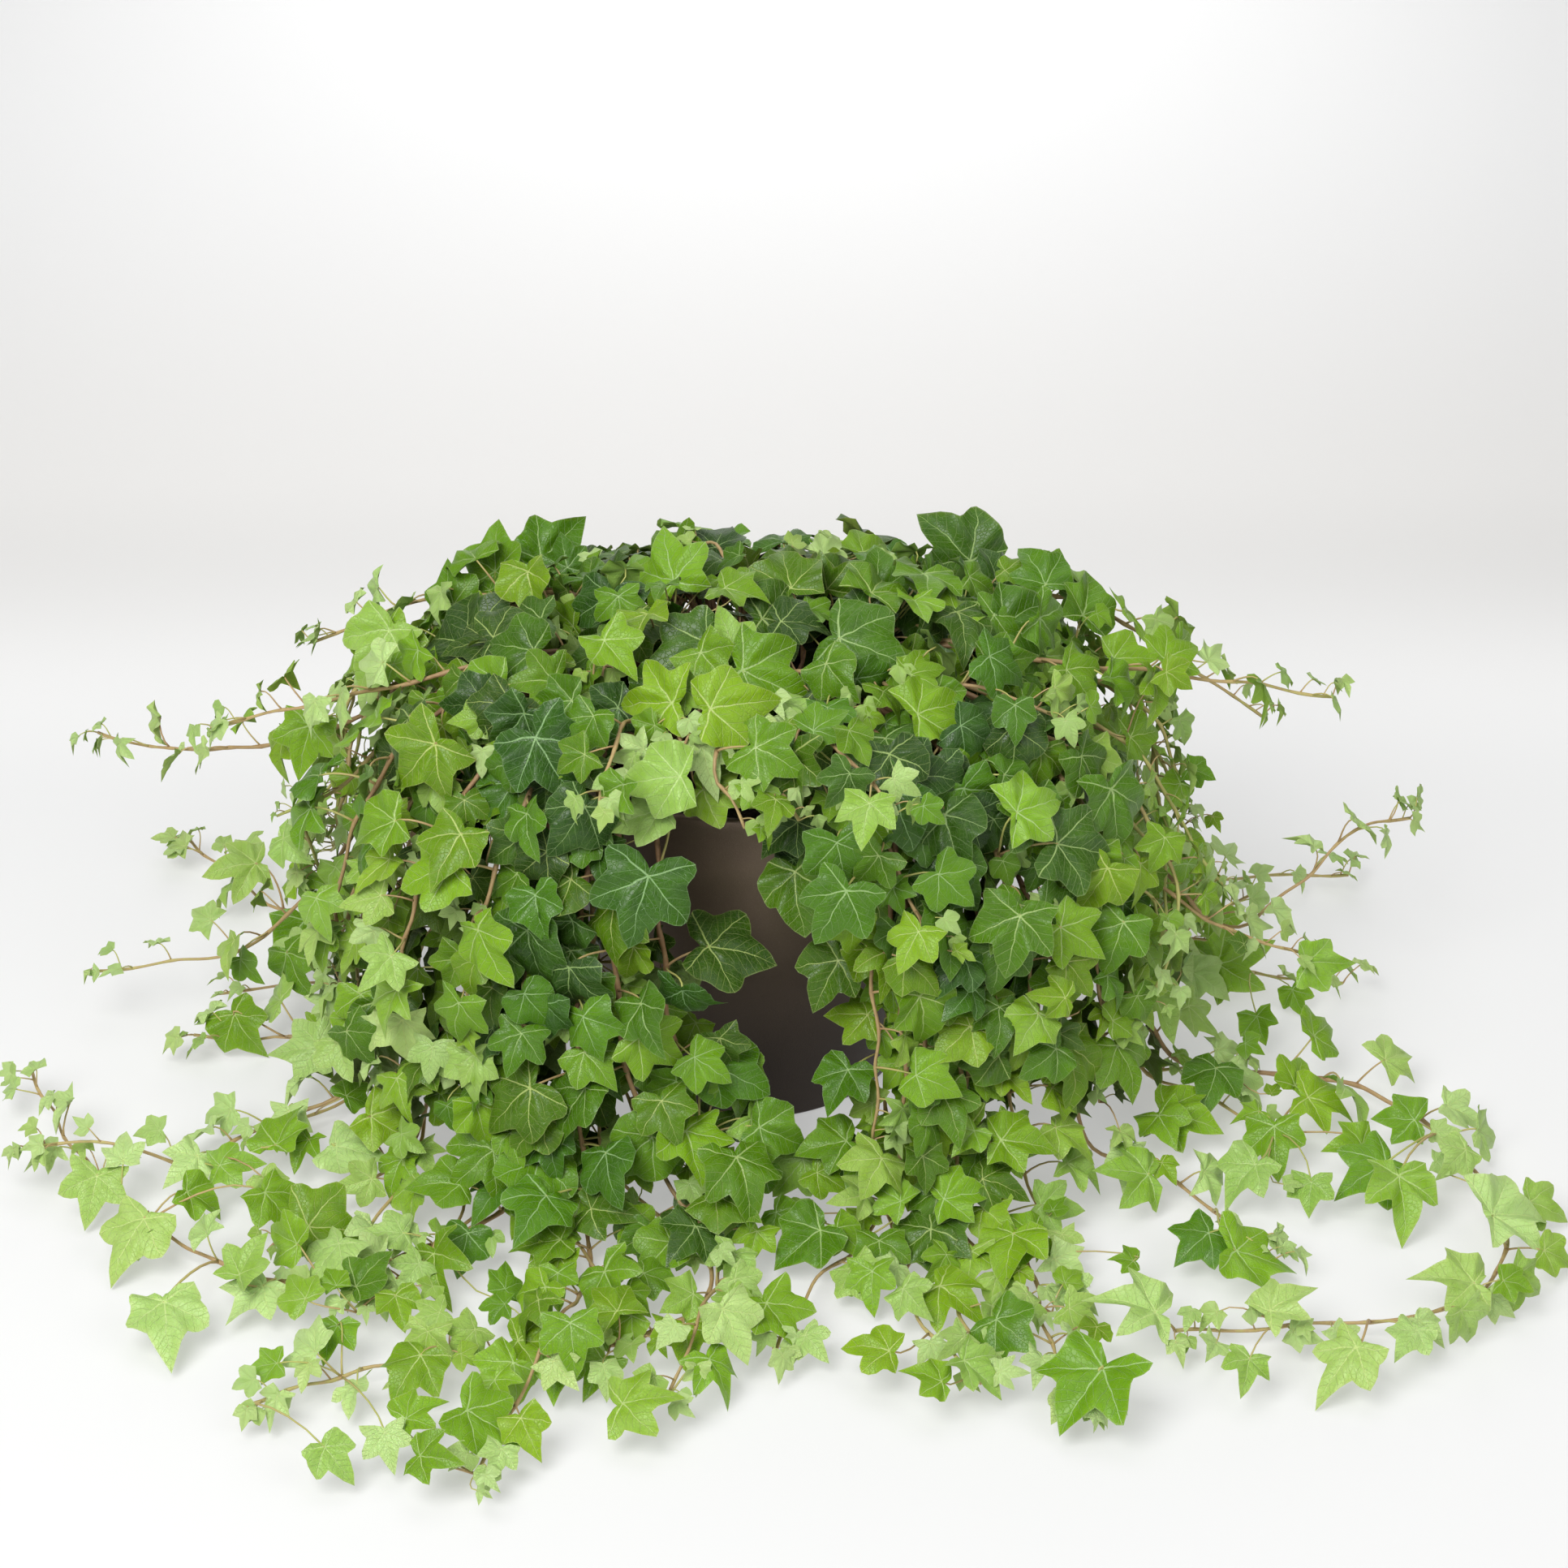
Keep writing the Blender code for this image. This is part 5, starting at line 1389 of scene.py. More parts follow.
class Nodes:
    """Short ways to place and join the nodes of one node tree."""

    def __init__(self, tree):
        self.tree = tree

    def join(self, socket, value):
        if isinstance(value, bpy.types.NodeSocket):
            self.tree.links.new(value, socket)
        else:
            socket.default_value = value

    def node(self, kind, *values, **settings):
        """A node with these settings, and with these values or links on its first inputs."""
        made = self.tree.nodes.new(kind)
        for key, value in settings.items():
            setattr(made, key, value)
        for socket, value in zip(made.inputs, values):
            self.join(socket, value)
        return made

    def math(self, operation, *values, clamp=False):
        return self.node("ShaderNodeMath", *values, operation=operation, use_clamp=clamp).outputs[0]

    def add(self, *values):
        return functools.reduce(functools.partial(self.math, "ADD"), values)

    def minus(self, first, second):
        return self.math("SUBTRACT", first, second)

    def times(self, *values, clamp=False):
        return self.math("MULTIPLY", *values, clamp=clamp)

    def vector(self, operation, *values):
        return self.node("ShaderNodeVectorMath", *values, operation=operation).outputs[0]

    def split(self, vector):
        return self.node("ShaderNodeSeparateXYZ", vector).outputs

    def ramp(self, value, low, high, start=0.0, end=1.0):
        """start where the value is under low, end where it is over high, and a smooth step between."""
        values = value, low, high, start, end
        return self.node("ShaderNodeMapRange", *values, interpolation_type="SMOOTHSTEP").outputs[0]

    def mix(self, factor, first, second, blend="MIX"):
        made = self.node("ShaderNodeMix", factor, data_type="RGBA", blend_type=blend)
        self.join(made.inputs[6], first)
        self.join(made.inputs[7], second)
        return made.outputs[2]

    def texture(self, kind, vector, output, inputs, **settings):
        """One output of a texture at these places, with these values on its named inputs."""
        made = self.node(kind, vector, **settings)
        for key, value in inputs.items():
            made.inputs[key].default_value = value
        return made.outputs[output]

    def noise(self, vector, scale, detail=2.0, roughness=0.5, output="Fac"):
        inputs = {"Scale": scale, "Detail": detail, "Roughness": roughness}
        return self.texture("ShaderNodeTexNoise", vector, output, inputs)

    def cells(self, vector, scale, feature):
        """Distances in a pattern of cells: to each cell's point, or to the edge between cells."""
        return self.texture("ShaderNodeTexVoronoi", vector, "Distance", {"Scale": scale}, feature=feature)

    def place(self):
        """The object's own coordinates."""
        return self.node("ShaderNodeTexCoord").outputs["Object"]

    def attribute(self, name):
        return self.node("ShaderNodeAttribute", attribute_name=name, attribute_type="GEOMETRY").outputs["Fac"]

    def group(self, tree, **values):
        made = self.node("ShaderNodeGroup", node_tree=tree)
        for key, value in values.items():
            self.join(made.inputs[key], value)
        return made.outputs


def group_tree(name, inputs, outputs):
    """An empty node group with these sockets, and its input and output nodes."""
    tree = bpy.data.node_groups.new(name, "ShaderNodeTree")
    for label, kind, value in inputs:
        socket = tree.interface.new_socket(label, in_out="INPUT", socket_type=kind)
        if value is not None:
            socket.default_value = value
    for label, kind in outputs:
        tree.interface.new_socket(label, in_out="OUTPUT", socket_type=kind)
    return tree, tree.nodes.new("NodeGroupInput").outputs, tree.nodes.new("NodeGroupOutput").inputs


# Colours of painted deep shade, of a leaf's warm and cool tints, and of painted shade at the planter's foot
PAINTED_SHADE_COLOUR = (0.004, 0.008, 0.001, 1.0)
WARM = (1.20, 1.03, 0.85, 1.0)
COOL = (0.86, 0.97, 1.12, 1.0)
PAINTED_FOOT_SHADE = (0.012, 0.008, 0.006, 1.0)

# Veins on a leaf of size 1: ribs in degrees from the tip, the side veins' pitch, how far they bend
RIBS = (0, 54, 121)
SIDE_VEIN_PITCH = 0.155
VEIN_BEND = 0.10
# Degrees from the tip where one rib's share of the blade ends and the next one's begins
RIB_BORDERS = (28, 87)


@functools.cache
def vein_group():
    """Veins of a palmate leaf on its chart, whose middle is the petiole's point and whose +V is the tip.
    Main: five ribs at 0, 54 and 121 degrees either side. Side: chevrons that branch from each rib.
    Net: a fine mesh of cells between them."""
    tree, given, put = group_tree("ivy_veins", (
        ("Chart", "NodeSocketVector", None),
        ("Shift", "NodeSocketFloat", 0.0),
        ("Width", "NodeSocketFloat", 0.022),
    ), (("Main", "NodeSocketFloat"), ("Side", "NodeSocketFloat"), ("Net", "NodeSocketFloat")))
    n = Nodes(tree)
    lift = n.node("ShaderNodeCombineXYZ", 0.0, 0.0, given["Shift"]).outputs[0]
    place = n.vector("ADD", given["Chart"], lift)
    bend = n.vector("SUBTRACT", n.noise(place, 3.2, 1.0, output="Color"), (0.5, 0.5, 0.5))
    bent = n.vector("ADD", given["Chart"], n.vector("MULTIPLY", bend, (VEIN_BEND,) * 3))
    parts = n.split(bent)
    x, y = n.math("ABSOLUTE", parts[0]), parts[1]
    turn = n.math("ARCTAN2", x, y)
    out = n.math("SQRT", n.add(n.times(x, x), n.times(y, y)))
    past = [n.math("GREATER_THAN", turn, math.radians(border)) for border in RIB_BORDERS]
    second = n.times(past[0], math.radians(RIBS[1]))
    third = n.times(past[1], math.radians(RIBS[2] - RIBS[1]))
    off = n.minus(turn, n.add(second, third))
    run = n.times(out, n.math("COSINE", off))
    away = n.times(out, n.math("SINE", off))
    beside = n.math("ABSOLUTE", away)
    width = n.times(given["Width"], n.minus(1.12, run))
    main = n.ramp(beside, n.times(width, 0.35), width, 1.0, 0.0)
    stagger = n.times(n.math("SIGN", away), 0.045)
    climb = n.add(n.minus(run, n.times(beside, 0.95)), stagger)
    step = n.math("FRACT", n.math("DIVIDE", n.add(climb, 2.0), SIDE_VEIN_PITCH))
    line = n.times(n.math("ABSOLUTE", n.minus(step, 0.5)), SIDE_VEIN_PITCH)
    fade = n.times(n.ramp(beside, 0.04, 0.42, 1.0, 0.35), n.ramp(climb, 0.02, 0.10))
    n.join(put["Main"], main)
    n.join(put["Side"], n.times(n.ramp(line, 0.002, 0.009, 1.0, 0.0), fade))
    n.join(put["Net"], n.ramp(n.cells(place, 17.0, "DISTANCE_TO_EDGE"), 0.0, 0.09, 1.0, 0.0))
    return tree


def colour_ramp(n, value, stops):
    """A value's colour between stops, given as pairs of a position and a colour."""
    made = n.node("ShaderNodeValToRGB", value)
    ramp = made.color_ramp
    stops = list(stops)
    while len(ramp.elements) < len(stops):
        ramp.elements.new(0.5)
    for element, (position, colour) in zip(ramp.elements, stops):
        element.position = position
        element.color = (*colour, 1.0)
    return made.outputs[0]


def new_material(name, roughness, metallic=0.0):
    """A material with its node helper and its one shader."""
    made = bpy.data.materials.new(name)
    made.use_nodes = True
    shader = made.node_tree.nodes["Principled BSDF"]
    shader.inputs["Roughness"].default_value = roughness
    shader.inputs["Metallic"].default_value = metallic
    return made, Nodes(made.node_tree), shader


def bump(n, shader, height, distance, strength):
    """Fine relief on a shader, from a height and how far it rises in metres."""
    made = n.node("ShaderNodeBump")
    made.inputs["Strength"].default_value = strength
    made.inputs["Distance"].default_value = distance
    n.join(made.inputs["Height"], height)
    n.join(shader.inputs["Normal"], made.outputs[0])


def leaf_material(leaf, under):
    """A leaf's upper face, from bright young to dark old green under pale veins, or its paler, duller
    underside. Deep in the mound both are darkened and lose sheen, as painted shade."""
    dull, veins_show, sheen = (0.58, 0.5, 0.15) if under else (0.42, 1.0, 0.36)
    made, n, shader = new_material("ivy_leaf_underside" if under else "ivy_leaf", 0.55 if under else 0.42)
    age, tone, reach, shade = (n.attribute("leaf_" + key) for key in ("age", "tone", "reach", "shade"))
    chart = n.node("ShaderNodeUVMap", uv_map="leaf_chart").outputs[0]
    veins = n.group(vein_group(), Chart=chart, Shift=n.times(tone, 7.0), Width=leaf.vein_width)
    blotch = n.times(n.minus(n.noise(n.place(), 90.0), 0.5), 0.22)
    colours = [leaf.young, leaf.fresh, leaf.full, leaf.old]
    if under:
        colours = [tuple(0.5 * c + 0.5 * p for c, p in zip(colour, leaf.underside)) for colour in colours]
    base = colour_ramp(n, n.add(age, n.times(tone, 0.07), blotch), zip((0.0, 0.36, 0.72, 1.0), colours))
    lines = n.add(n.times(veins["Main"], 0.85), n.times(veins["Side"], 0.42))
    lines = n.math("MAXIMUM", lines, n.times(veins["Net"], 0.10))
    vein_colour = n.mix(age, (*leaf.vein_young, 1.0), (*leaf.vein_old, 1.0))
    base = n.mix(n.times(lines, veins_show, clamp=True), base, vein_colour)
    base = n.mix(n.times(n.ramp(reach, 0.965, 1.0), 0.30), base, vein_colour)
    warm = n.times(n.ramp(age, 0.1, 0.6, 0.25, 1.0), n.ramp(tone, 0.0, 1.0))
    base = n.mix(warm, base, WARM, "MULTIPLY")
    base = n.mix(n.times(age, n.ramp(tone, -1.0, 0.0, 1.0, 0.0)), base, COOL, "MULTIPLY")
    # Painted shade: leaves deep under the mound's skin turn towards a near black green
    n.join(shader.inputs["Base Color"], n.mix(n.times(shade, 0.80), base, PAINTED_SHADE_COLOUR))
    gloss = n.add(n.times(age, -0.10), dull)
    n.join(shader.inputs["Roughness"], n.add(gloss, n.times(lines, 0.10)))
    relief = n.add(n.times(veins["Side"], -0.8), n.times(veins["Net"], -0.35), n.times(veins["Main"], -0.5))
    bump(n, shader, relief, 0.0005, 0.85)
    # Painted shade also takes most of the sheen off leaves deep in the mound
    n.join(shader.inputs["Specular IOR Level"], n.math("MULTIPLY_ADD", shade, -0.85 * sheen, sheen))
    shader.inputs["Subsurface Weight"].default_value = leaf.glow
    shader.inputs["Subsurface Radius"].default_value = (0.6, 1.0, 0.25)
    shader.inputs["Subsurface Scale"].default_value = 0.0012
    return made


def stem_material(vine):
    """Stems and petioles: yellow-green where young, tan and reddish brown where old, with fine streaks."""
    made, n, shader = new_material("ivy_stem", 0.55)
    place = n.place()
    streak = n.times(n.minus(n.noise(place, 260.0, 3.0), 0.5), 0.5)
    ripe = n.add(n.attribute("leaf_age"), n.times(n.attribute("leaf_tone"), 0.10), streak)
    colours = vine.stem_young, vine.stem_tan, vine.stem_old, vine.stem_wood
    n.join(shader.inputs["Base Color"], colour_ramp(n, ripe, zip((0.0, 0.28, 0.70, 1.0), colours)))
    bump(n, shader, n.noise(place, 900.0, 3.0), 0.0003, 0.5)
    return made


def planter_material(pot):
    """A dark espresso-brown metallic coat: fine sandy fleck, soft clouds, and painted shade at its foot."""
    made, n, shader = new_material("planter_glaze", 0.40, 0.55)
    place = n.place()
    fleck = n.ramp(n.noise(place, 1500.0, 3.0, 0.7), 0.50, 0.78)
    cloud = n.ramp(n.noise(place, 16.0, 3.0), 0.35, 0.70)
    base = n.mix(n.times(cloud, 0.45), (*pot.colour, 1.0), (*pot.colour_light, 1.0))
    base = n.mix(n.times(fleck, 0.55), base, (*pot.fleck, 1.0))
    # Painted shade: the coat darkens towards the foot
    base = n.mix(n.ramp(n.split(place)[2], 0.03, 0.20, 0.85, 0.0), base, PAINTED_FOOT_SHADE)
    n.join(shader.inputs["Base Color"], base)
    n.join(shader.inputs["Roughness"], n.add(0.36, n.times(fleck, 0.16)))
    bump(n, shader, n.noise(place, 1100.0, 3.0, 0.65), 0.0003, 0.35)
    return made


def soil_material(soil):
    """Moist potting mix: near black, with brown crumbs and a few pale grains."""
    made, n, shader = new_material("potting_soil", 0.92)
    place = n.place()
    shade = n.ramp(n.noise(place, 120.0, 4.0), 0.35, 0.70)
    base = n.mix(shade, (*soil.dark, 1.0), (*soil.light, 1.0))
    grain = n.ramp(n.noise(place, 420.0, 2.0), 0.70, 0.76)
    n.join(shader.inputs["Base Color"], n.mix(n.times(grain, 0.6), base, (*soil.grain, 1.0)))
    bump(n, shader, n.add(n.cells(place, 230.0, "F1"), n.noise(place, 300.0, 3.0)), 0.002, 0.8)
    return made


def turned_object(name, profile, count, finish):
    """A turned solid: each profile point (radius, height) goes round the Z axis in count steps, and the
    first and last points lie on the axis. The profile runs from the top inwards, down and out."""
    radius, height = np.array(profile[1:-1]).T
    angle = 2 * np.pi * np.arange(count) / count
    rings = np.stack([radius[:, None] * np.cos(angle), radius[:, None] * np.sin(angle),
                      height[:, None] + 0 * angle], -1).reshape(-1, 3)
    points = np.vstack([rings, [0, 0, profile[0][1]], [0, 0, profile[-1][1]]])
    k = np.arange(count)
    n = (k + 1) % count
    base = (np.arange(len(radius) - 1) * count)[:, None]
    corners = base + k, base + count + k, base + count + n, base + n
    start, end, last = len(rings), len(rings) + 1, (len(radius) - 1) * count
    faces = np.stack([corner.ravel() for corner in corners], 1).tolist()
    faces += np.stack([np.full(count, start), k, n], 1).tolist()
    faces += np.stack([np.full(count, end), last + n, last + k], 1).tolist()
    mesh = bpy.data.meshes.new(name)
    mesh.from_pydata(points.tolist(), [], faces)
    mesh.shade_smooth()
    mesh.set_sharp_from_angle(angle=math.radians(40))
    mesh.materials.append(finish)
    return scene_object(name, mesh)


def arc(centre, radius, start, end, steps):
    """Points of a round edge in the profile's plane, from one angle to another in degrees."""
    angle = np.radians(np.linspace(start, end, steps))
    return [(centre[0] + radius * math.cos(a), centre[1] + radius * math.sin(a)) for a in angle]


def dress(piece, slot, *nodes):
    """A finished piece rides on the part's one body and stands for its nodes; the slot is not used."""
    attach(piece, "root")
    if nodes:
        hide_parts(*nodes)


def length_of(name, description, value):
    """A setting in metres."""
    return FloatProperty(name=name, description=description, default=value, unit="LENGTH")


def share_of(name, description, value):
    """A setting that is a plain number."""
    return FloatProperty(name=name, description=description, default=value)


def colour_of(name, description, *value):
    """A colour setting, in linear red, green and blue."""
    return FloatVectorProperty(name=name, description=description, subtype="COLOR", default=value)


class PlanterSettings(bpy.types.PropertyGroup):
    height: length_of("Height", "Height of the planter", PLANTER_TOP.z)
    rim_radius: length_of("Rim radius", "Radius outside the lip", RIM_RADIUS)
    lip_round: length_of("Lip rounding", "Radius of the lip's edge", 0.0022)
    segments: IntProperty(name="Segments", description="Steps round the planter", default=144)
    colour: colour_of("Colour", "Main colour", 0.155, 0.108, 0.080)
    colour_light: colour_of("Light colour", "Colour of the soft clouds", 0.220, 0.156, 0.120)
    fleck: colour_of("Fleck", "Colour of the metallic fleck", 0.26, 0.19, 0.150)


class SoilSettings(bpy.types.PropertyGroup):
    lump: length_of("Lumps", "Height of the soil's lumps", 0.0035)
    dark: colour_of("Dark", "Colour of the moist mix", 0.018, 0.012, 0.008)
    light: colour_of("Light", "Colour of the drier crumbs", 0.055, 0.036, 0.022)
    grain: colour_of("Grain", "Colour of the pale grains", 0.35, 0.31, 0.26)


class LeafSettings(bpy.types.PropertyGroup):
    thickness: length_of("Thickness", "Thickness of a blade", 0.0006)
    quilt: share_of("Quilt", "Rise between the main veins over the leaf's size", 0.130)
    ripple: share_of("Ripple", "Ripple of the edge over the leaf's size", 0.078)
    vein_width: share_of("Vein width", "Width of a rib at its root over the leaf's size", 0.0175)
    glow: share_of("Glow", "Share of light that scatters inside the blade", 0.15)
    young: colour_of("Young", "Newest leaves", 0.50, 0.69, 0.25)
    fresh: colour_of("Fresh", "Leaves not yet full grown", 0.215, 0.405, 0.009)
    full: colour_of("Full", "Full-grown leaves", 0.080, 0.205, 0.002)
    old: colour_of("Old", "Oldest leaves", 0.024, 0.072, 0.007)
    underside: colour_of("Underside", "Tint of the undersides", 0.34, 0.46, 0.12)
    vein_young: colour_of("Young veins", "Veins of new leaves", 0.58, 0.74, 0.27)
    vein_old: colour_of("Old veins", "Veins of old leaves", 0.33, 0.49, 0.18)


class VineSettings(bpy.types.PropertyGroup):
    stem_young: colour_of("Young stem", "Petioles and new stems", 0.46, 0.48, 0.13)
    stem_tan: colour_of("Tan stem", "Petioles at their roots", 0.50, 0.36, 0.16)
    stem_old: colour_of("Old stem", "Grown stems", 0.33, 0.185, 0.092)
    stem_wood: colour_of("Woody stem", "Stems at the soil", 0.10, 0.060, 0.032)


class StageSettings(bpy.types.PropertyGroup):
    elevation: FloatProperty(name="Elevation", description="Camera above the horizon", subtype="ANGLE",
                             default=math.radians(CAMERA_ELEVATION))
    distance: length_of("Distance", "Camera from its target", CAMERA_DISTANCE)
    lens: share_of("Lens", "Focal length in millimetres", CAMERA_LENS)
    target: FloatVectorProperty(name="Target", description="Point that the camera looks at",
                                subtype="TRANSLATION", default=tuple(CAMERA_TARGET))
    floor: colour_of("Floor", "Colour of the floor", 0.50, 0.50, 0.498)
    floor_glow: share_of("Floor glow", "Light that the floor gives off, which pales its shadows", 0.39)
    horizon: colour_of("Horizon", "Colour where the floor turns up", 0.905, 0.895, 0.878)
    backdrop: colour_of("Backdrop", "Colour of the backdrop", 0.97, 0.97, 0.968)


class IVY_OT_planter(bpy.types.Operator):
    """Turn the planter, with a rounded lip, a flat foot and a hollow for the soil"""
    bl_idname = "ivy.planter"
    bl_label = "Planter"

    def execute(self, context):
        pot = context.scene.ivy_planter
        rim, top, r = pot.rim_radius, pot.height, pot.lip_round
        taper = (rim - FOOT_RADIUS) / top
        inside = rim - WALL
        profile = [(0.0, FOOT_THICKNESS)]
        profile += arc((FOOT_RADIUS - WALL - 0.004, FOOT_THICKNESS + 0.004), 0.004, -90, 0, 6)
        profile += [(inside - taper * (top - z), z) for z in np.linspace(0.02, top - 0.010, 8)]
        profile += arc((rim - r, top - r), r, 180, 0, 13) if 2 * r >= WALL else (
            arc((inside + r, top - r), r, 180, 90, 7) + arc((rim - r, top - r), r, 90, 0, 7))
        profile += [(rim - taper * (top - z), z) for z in np.linspace(top - 0.008, FOOT_ROUND + 0.004, 24)]
        profile += arc((FOOT_RADIUS - FOOT_ROUND, FOOT_ROUND), FOOT_ROUND, 0, -90, 7)
        profile += [(0.0, 0.0)]
        piece = turned_object("planter_shell", profile, pot.segments, planter_material(pot))
        dress(piece, "planter_glaze", "planter")
        return {"FINISHED"}


class IVY_OT_soil(bpy.types.Operator):
    """Heap the potting soil: a lumpy crown inside the planter"""
    bl_idname = "ivy.soil"
    bl_label = "Soil"

    def execute(self, context):
        soil = context.scene.ivy_soil
        taper = (RIM_RADIUS - FOOT_RADIUS) / POT_HEIGHT
        low = FOOT_THICKNESS + GAP
        wall_low = FOOT_RADIUS - WALL + taper * low - GAP
        wall_top = FOOT_RADIUS - WALL + taper * SOIL_TOP - GAP
        reach = np.linspace(0, 1, 41)[1:]
        dome = [(wall_top * s, SOIL_TOP + SOIL_CROWN * (1 - s * s)) for s in reach]
        profile = [(0.0, SOIL_TOP + SOIL_CROWN)] + dome + [(wall_low, low), (0.0, low)]
        piece = turned_object("soil_heap", profile[::-1], 120, soil_material(soil))
        mesh = piece.data
        points = np.zeros(3 * len(mesh.vertices))
        mesh.vertices.foreach_get("co", points)
        points = points.reshape(-1, 3)
        x, y = points[:, 0], points[:, 1]
        wave = np.zeros(len(points))
        random = np.random.default_rng(3)
        for cycles in (25, 45, 80, 140, 220):
            way = random.uniform(0, 2 * np.pi, 3)
            for a in way:
                along = x * math.cos(a) + y * math.sin(a)
                wave += np.sin(2 * np.pi * cycles * along + 5 * a) * 12 / (cycles + 30)
        inner = np.clip((wall_top - np.hypot(x, y)) / 0.01, 0, 1)
        points[:, 2] += np.where(points[:, 2] > SOIL_TOP - 0.001, soil.lump * 0.25 * wave * inner, 0)
        mesh.vertices.foreach_set("co", points.ravel())
        mesh.update()
        dress(piece, "potting_soil", "soil")
        return {"FINISHED"}


class IVY_OT_vines(bpy.types.Operator):
    """Grow the frame's own vines, each leaf where the frame has it, with finer leaves between"""
    bl_idname = "ivy.vines"
    bl_label = "Vines"

    def execute(self, context):
        leaf = context.scene.ivy_leaf
        for plant in grown()[0]:
            piece = mesh_object(plant["name"] + "_vine", vine_parts(plant, leaf), vine_finishes())
            dress(piece, "ivy_leaf", plant["name"])
        return {"FINISHED"}


class IVY_OT_infill(bpy.types.Operator):
    """Grow the finer vines between the frame's own, one piece for each eighth of the round"""
    bl_idname = "ivy.infill"
    bl_label = "Infill"

    def execute(self, context):
        leaf = context.scene.ivy_leaf
        sectors = {name: [] for name in SECTORS}
        for plant in grown()[1]:
            x, y, _ = plant["path"][-1]
            azimuth = math.degrees(math.atan2(x, -y)) % 360
            sectors[SECTORS[int((azimuth + 22.5) // 45) % 8]] += vine_parts(plant, leaf)
        for name, parts in sectors.items():
            if parts:
                piece = mesh_object("infill_" + name, parts, vine_finishes())
                dress(piece, "ivy_leaf")
        return {"FINISHED"}


class IVY_OT_stage(bpy.types.Operator):
    """Set the camera, a pale floor that sweeps up into a backdrop, and soft studio lights"""
    bl_idname = "ivy.stage"
    bl_label = "Stage"

    def execute(self, context):
        stage = context.scene.ivy_stage
        scene = context.scene
        camera = scene_object("camera", bpy.data.cameras.new("camera"))
        e = stage.elevation
        back = np.array([0, -math.cos(e), math.sin(e)])
        camera.location = np.array(stage.target) + stage.distance * back
        camera.rotation_euler = (math.pi / 2 - e, 0, 0)
        camera.data.lens = stage.lens
        camera.data.sensor_width = CAMERA_SENSOR
        camera.data.clip_end = 60
        scene.camera = camera
        sweep(stage)
        for row in LIGHTS:
            light(*row)
        world = scene.world or bpy.data.worlds.new("world")
        scene.world = world
        world.use_nodes = True
        sky = world.node_tree.nodes["Background"]
        sky.inputs[0].default_value = (1.0, 1.0, 1.0, 1.0)
        sky.inputs[1].default_value = SKY_LIGHT
        scene.view_settings.view_transform = "Standard"
        return {"FINISHED"}


def light(name, place, target, size, power):
    """A round soft light at this place that faces a point and isn't seen itself."""
    data = bpy.data.lights.new(name, "AREA")
    data.shape = "DISK"
    data.size = size
    data.energy = power
    made = scene_object(name, data)
    made.location = place
    made.visible_camera = False
    way = np.array(target) - np.array(place)
    flat = math.hypot(way[0], way[1])
    made.rotation_euler = (math.atan2(flat, -way[2]), 0, math.atan2(way[0], -way[1]) + math.pi)


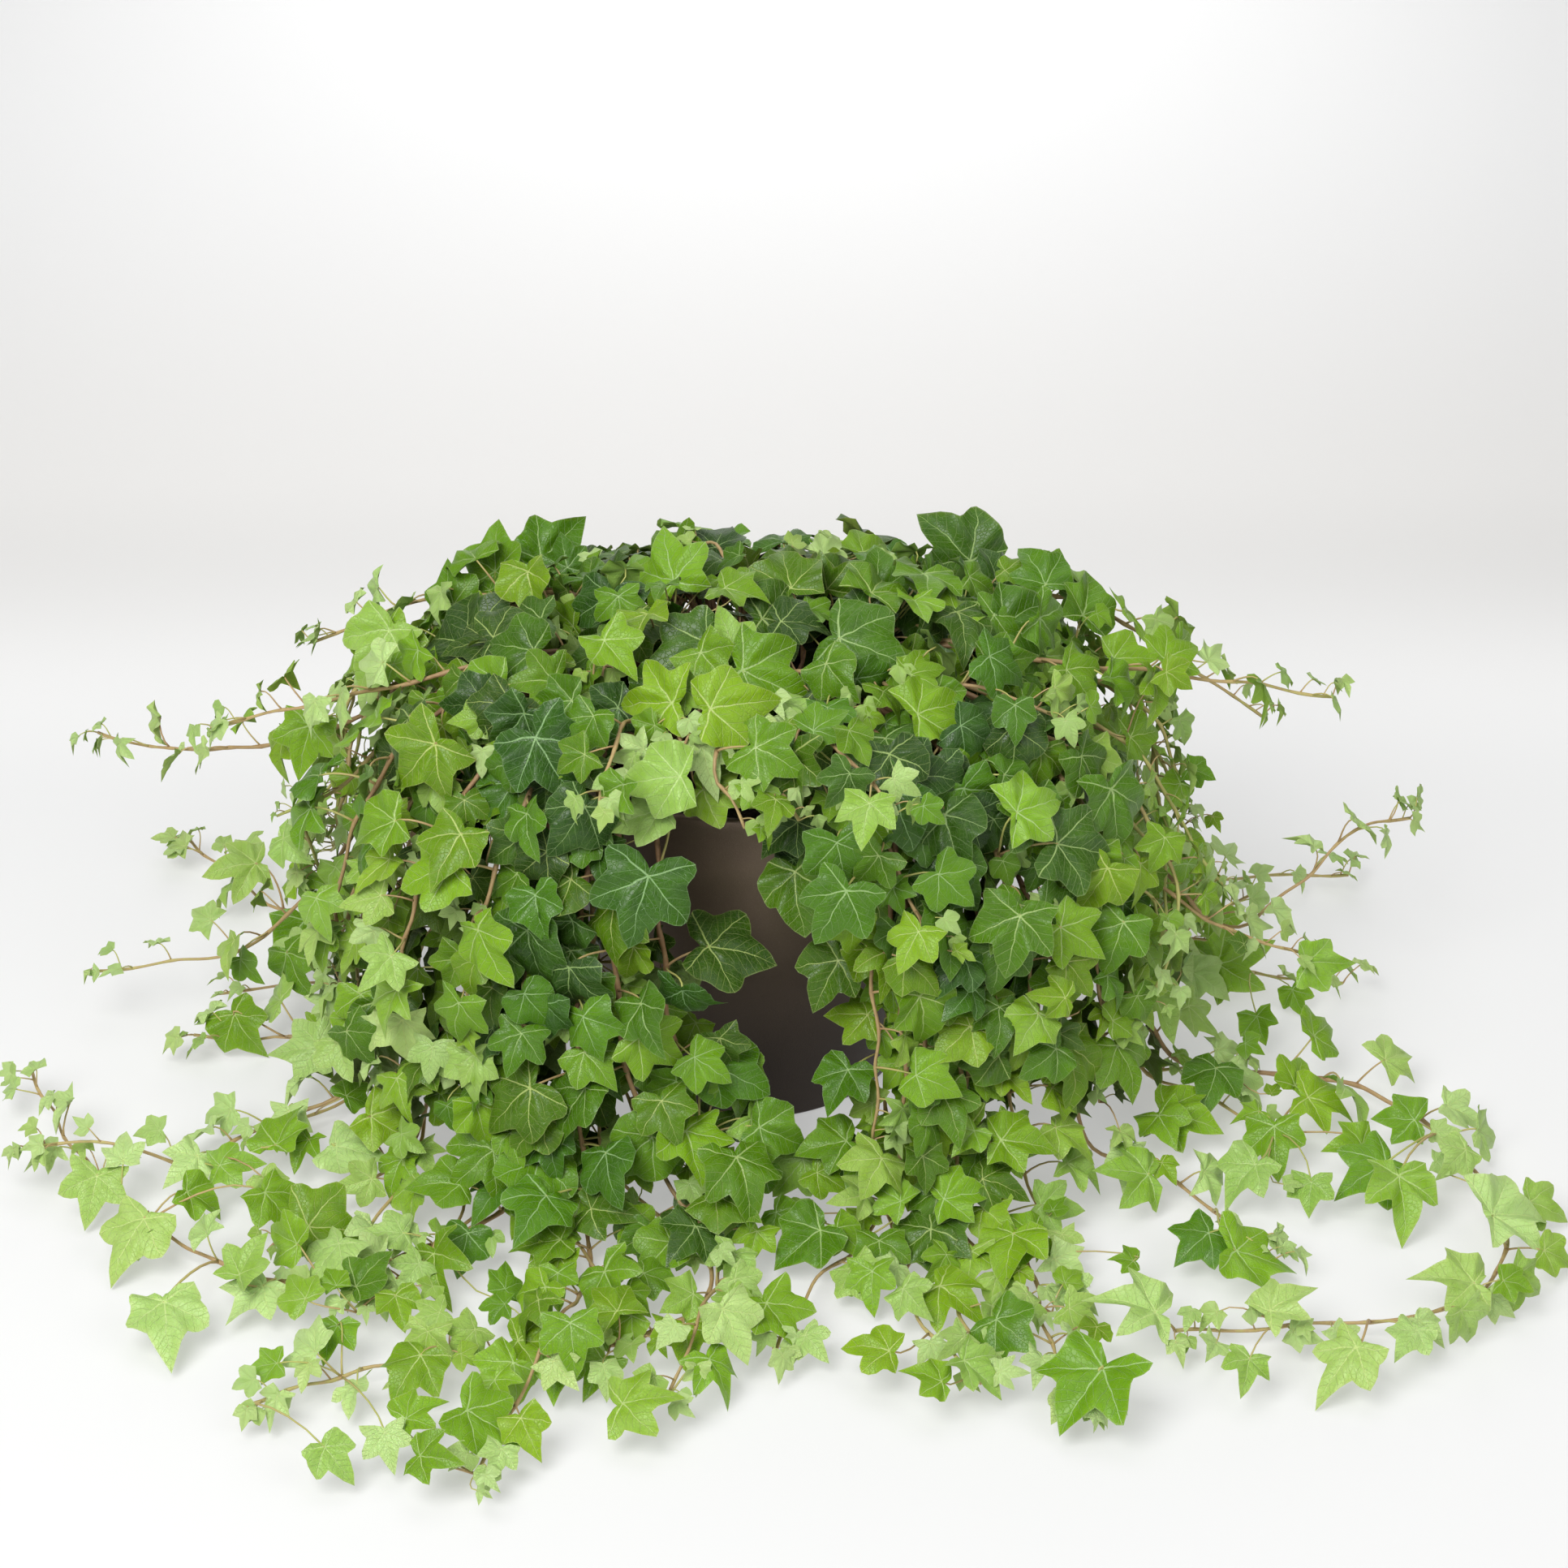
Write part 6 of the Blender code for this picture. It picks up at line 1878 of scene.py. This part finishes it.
def sweep(stage):
    """The floor runs back, then turns up through a wide quarter round into the backdrop."""
    rows = [(-SWEEP_HALF, 0.0), (SWEEP_START, 0.0)]
    for a in np.linspace(0, math.pi / 2, 65)[1:]:
        rows.append((SWEEP_START + SWEEP_RADIUS * math.sin(a), SWEEP_RADIUS - SWEEP_RADIUS * math.cos(a)))
    rows.append((SWEEP_START + SWEEP_RADIUS, SWEEP_HALF))
    points = [(x, y, z - 0.0002) for y, z in rows for x in (-SWEEP_HALF, SWEEP_HALF)]
    faces = [(2 * i, 2 * i + 1, 2 * i + 3, 2 * i + 2) for i in range(len(rows) - 1)]
    mesh = bpy.data.meshes.new("stage_sweep")
    mesh.from_pydata(points, [], faces)
    mesh.shade_smooth()
    finish, n, shader = new_material("stage_paper", 0.75)
    y = n.split(n.place())[1]
    behind = n.ramp(y, 0.3, SWEEP_START)
    # Painted shade: where the paper turns up it is a little darker than the backdrop
    near = n.mix(behind, (*stage.floor, 1.0), (*stage.horizon, 1.0))
    n.join(shader.inputs["Base Color"], n.mix(n.ramp(y, 0.75, 1.75), near, (*stage.backdrop, 1.0)))
    # Painted light: the floor glows, which pales the shadows on it, and the glow fades out towards the turn
    shader.inputs["Emission Color"].default_value = (1.0, 1.0, 1.0, 1.0)
    n.join(shader.inputs["Emission Strength"], n.ramp(behind, 0.0, 1.0, stage.floor_glow, 0.0))
    mesh.materials.append(finish)
    scene_object("stage_sweep", mesh)


@functools.cache
def vine_finishes():
    """The materials of every vine, in the order of a part's finishes."""
    leaf = bpy.context.scene.ivy_leaf
    return leaf_material(leaf, False), leaf_material(leaf, True), stem_material(bpy.context.scene.ivy_vine)


class IVY_PT_panel(bpy.types.Panel):
    """Sizes and colours of the potted ivy, and a button for each group of pieces"""
    bl_label = "Potted ivy"
    bl_idname = "IVY_PT_panel"
    bl_space_type = "VIEW_3D"
    bl_region_type = "UI"
    bl_category = "Ivy"

    def draw(self, context):
        for settings, _ in SETTINGS:
            box = self.layout.box()
            for key in getattr(context.scene, settings).__annotations__:
                box.prop(getattr(context.scene, settings), key)
        for operator in OPERATORS:
            self.layout.operator(operator.bl_idname)


SETTINGS = (("ivy_planter", PlanterSettings), ("ivy_soil", SoilSettings), ("ivy_leaf", LeafSettings),
            ("ivy_vine", VineSettings), ("ivy_stage", StageSettings))
OPERATORS = (IVY_OT_stage, IVY_OT_planter, IVY_OT_soil, IVY_OT_vines, IVY_OT_infill)


def register():
    for name, group in SETTINGS:
        bpy.utils.register_class(group)
        setattr(bpy.types.Scene, name, PointerProperty(type=group))
    for operator in OPERATORS:
        bpy.utils.register_class(operator)
    bpy.utils.register_class(IVY_PT_panel)


def unregister():
    bpy.utils.unregister_class(IVY_PT_panel)
    for operator in reversed(OPERATORS):
        bpy.utils.unregister_class(operator)
    for name, group in reversed(SETTINGS):
        delattr(bpy.types.Scene, name)
        bpy.utils.unregister_class(group)


def main():
    """Build everything, after any other lights and cameras are gone."""
    register()
    for old in [o for o in bpy.data.objects if o.type in ("LIGHT", "CAMERA")]:
        bpy.data.objects.remove(old)
    bpy.ops.ivy.stage()
    bpy.ops.ivy.planter()
    bpy.ops.ivy.soil()
    bpy.ops.ivy.vines()
    bpy.ops.ivy.infill()
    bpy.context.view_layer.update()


if __name__ == "__main__":
    main()
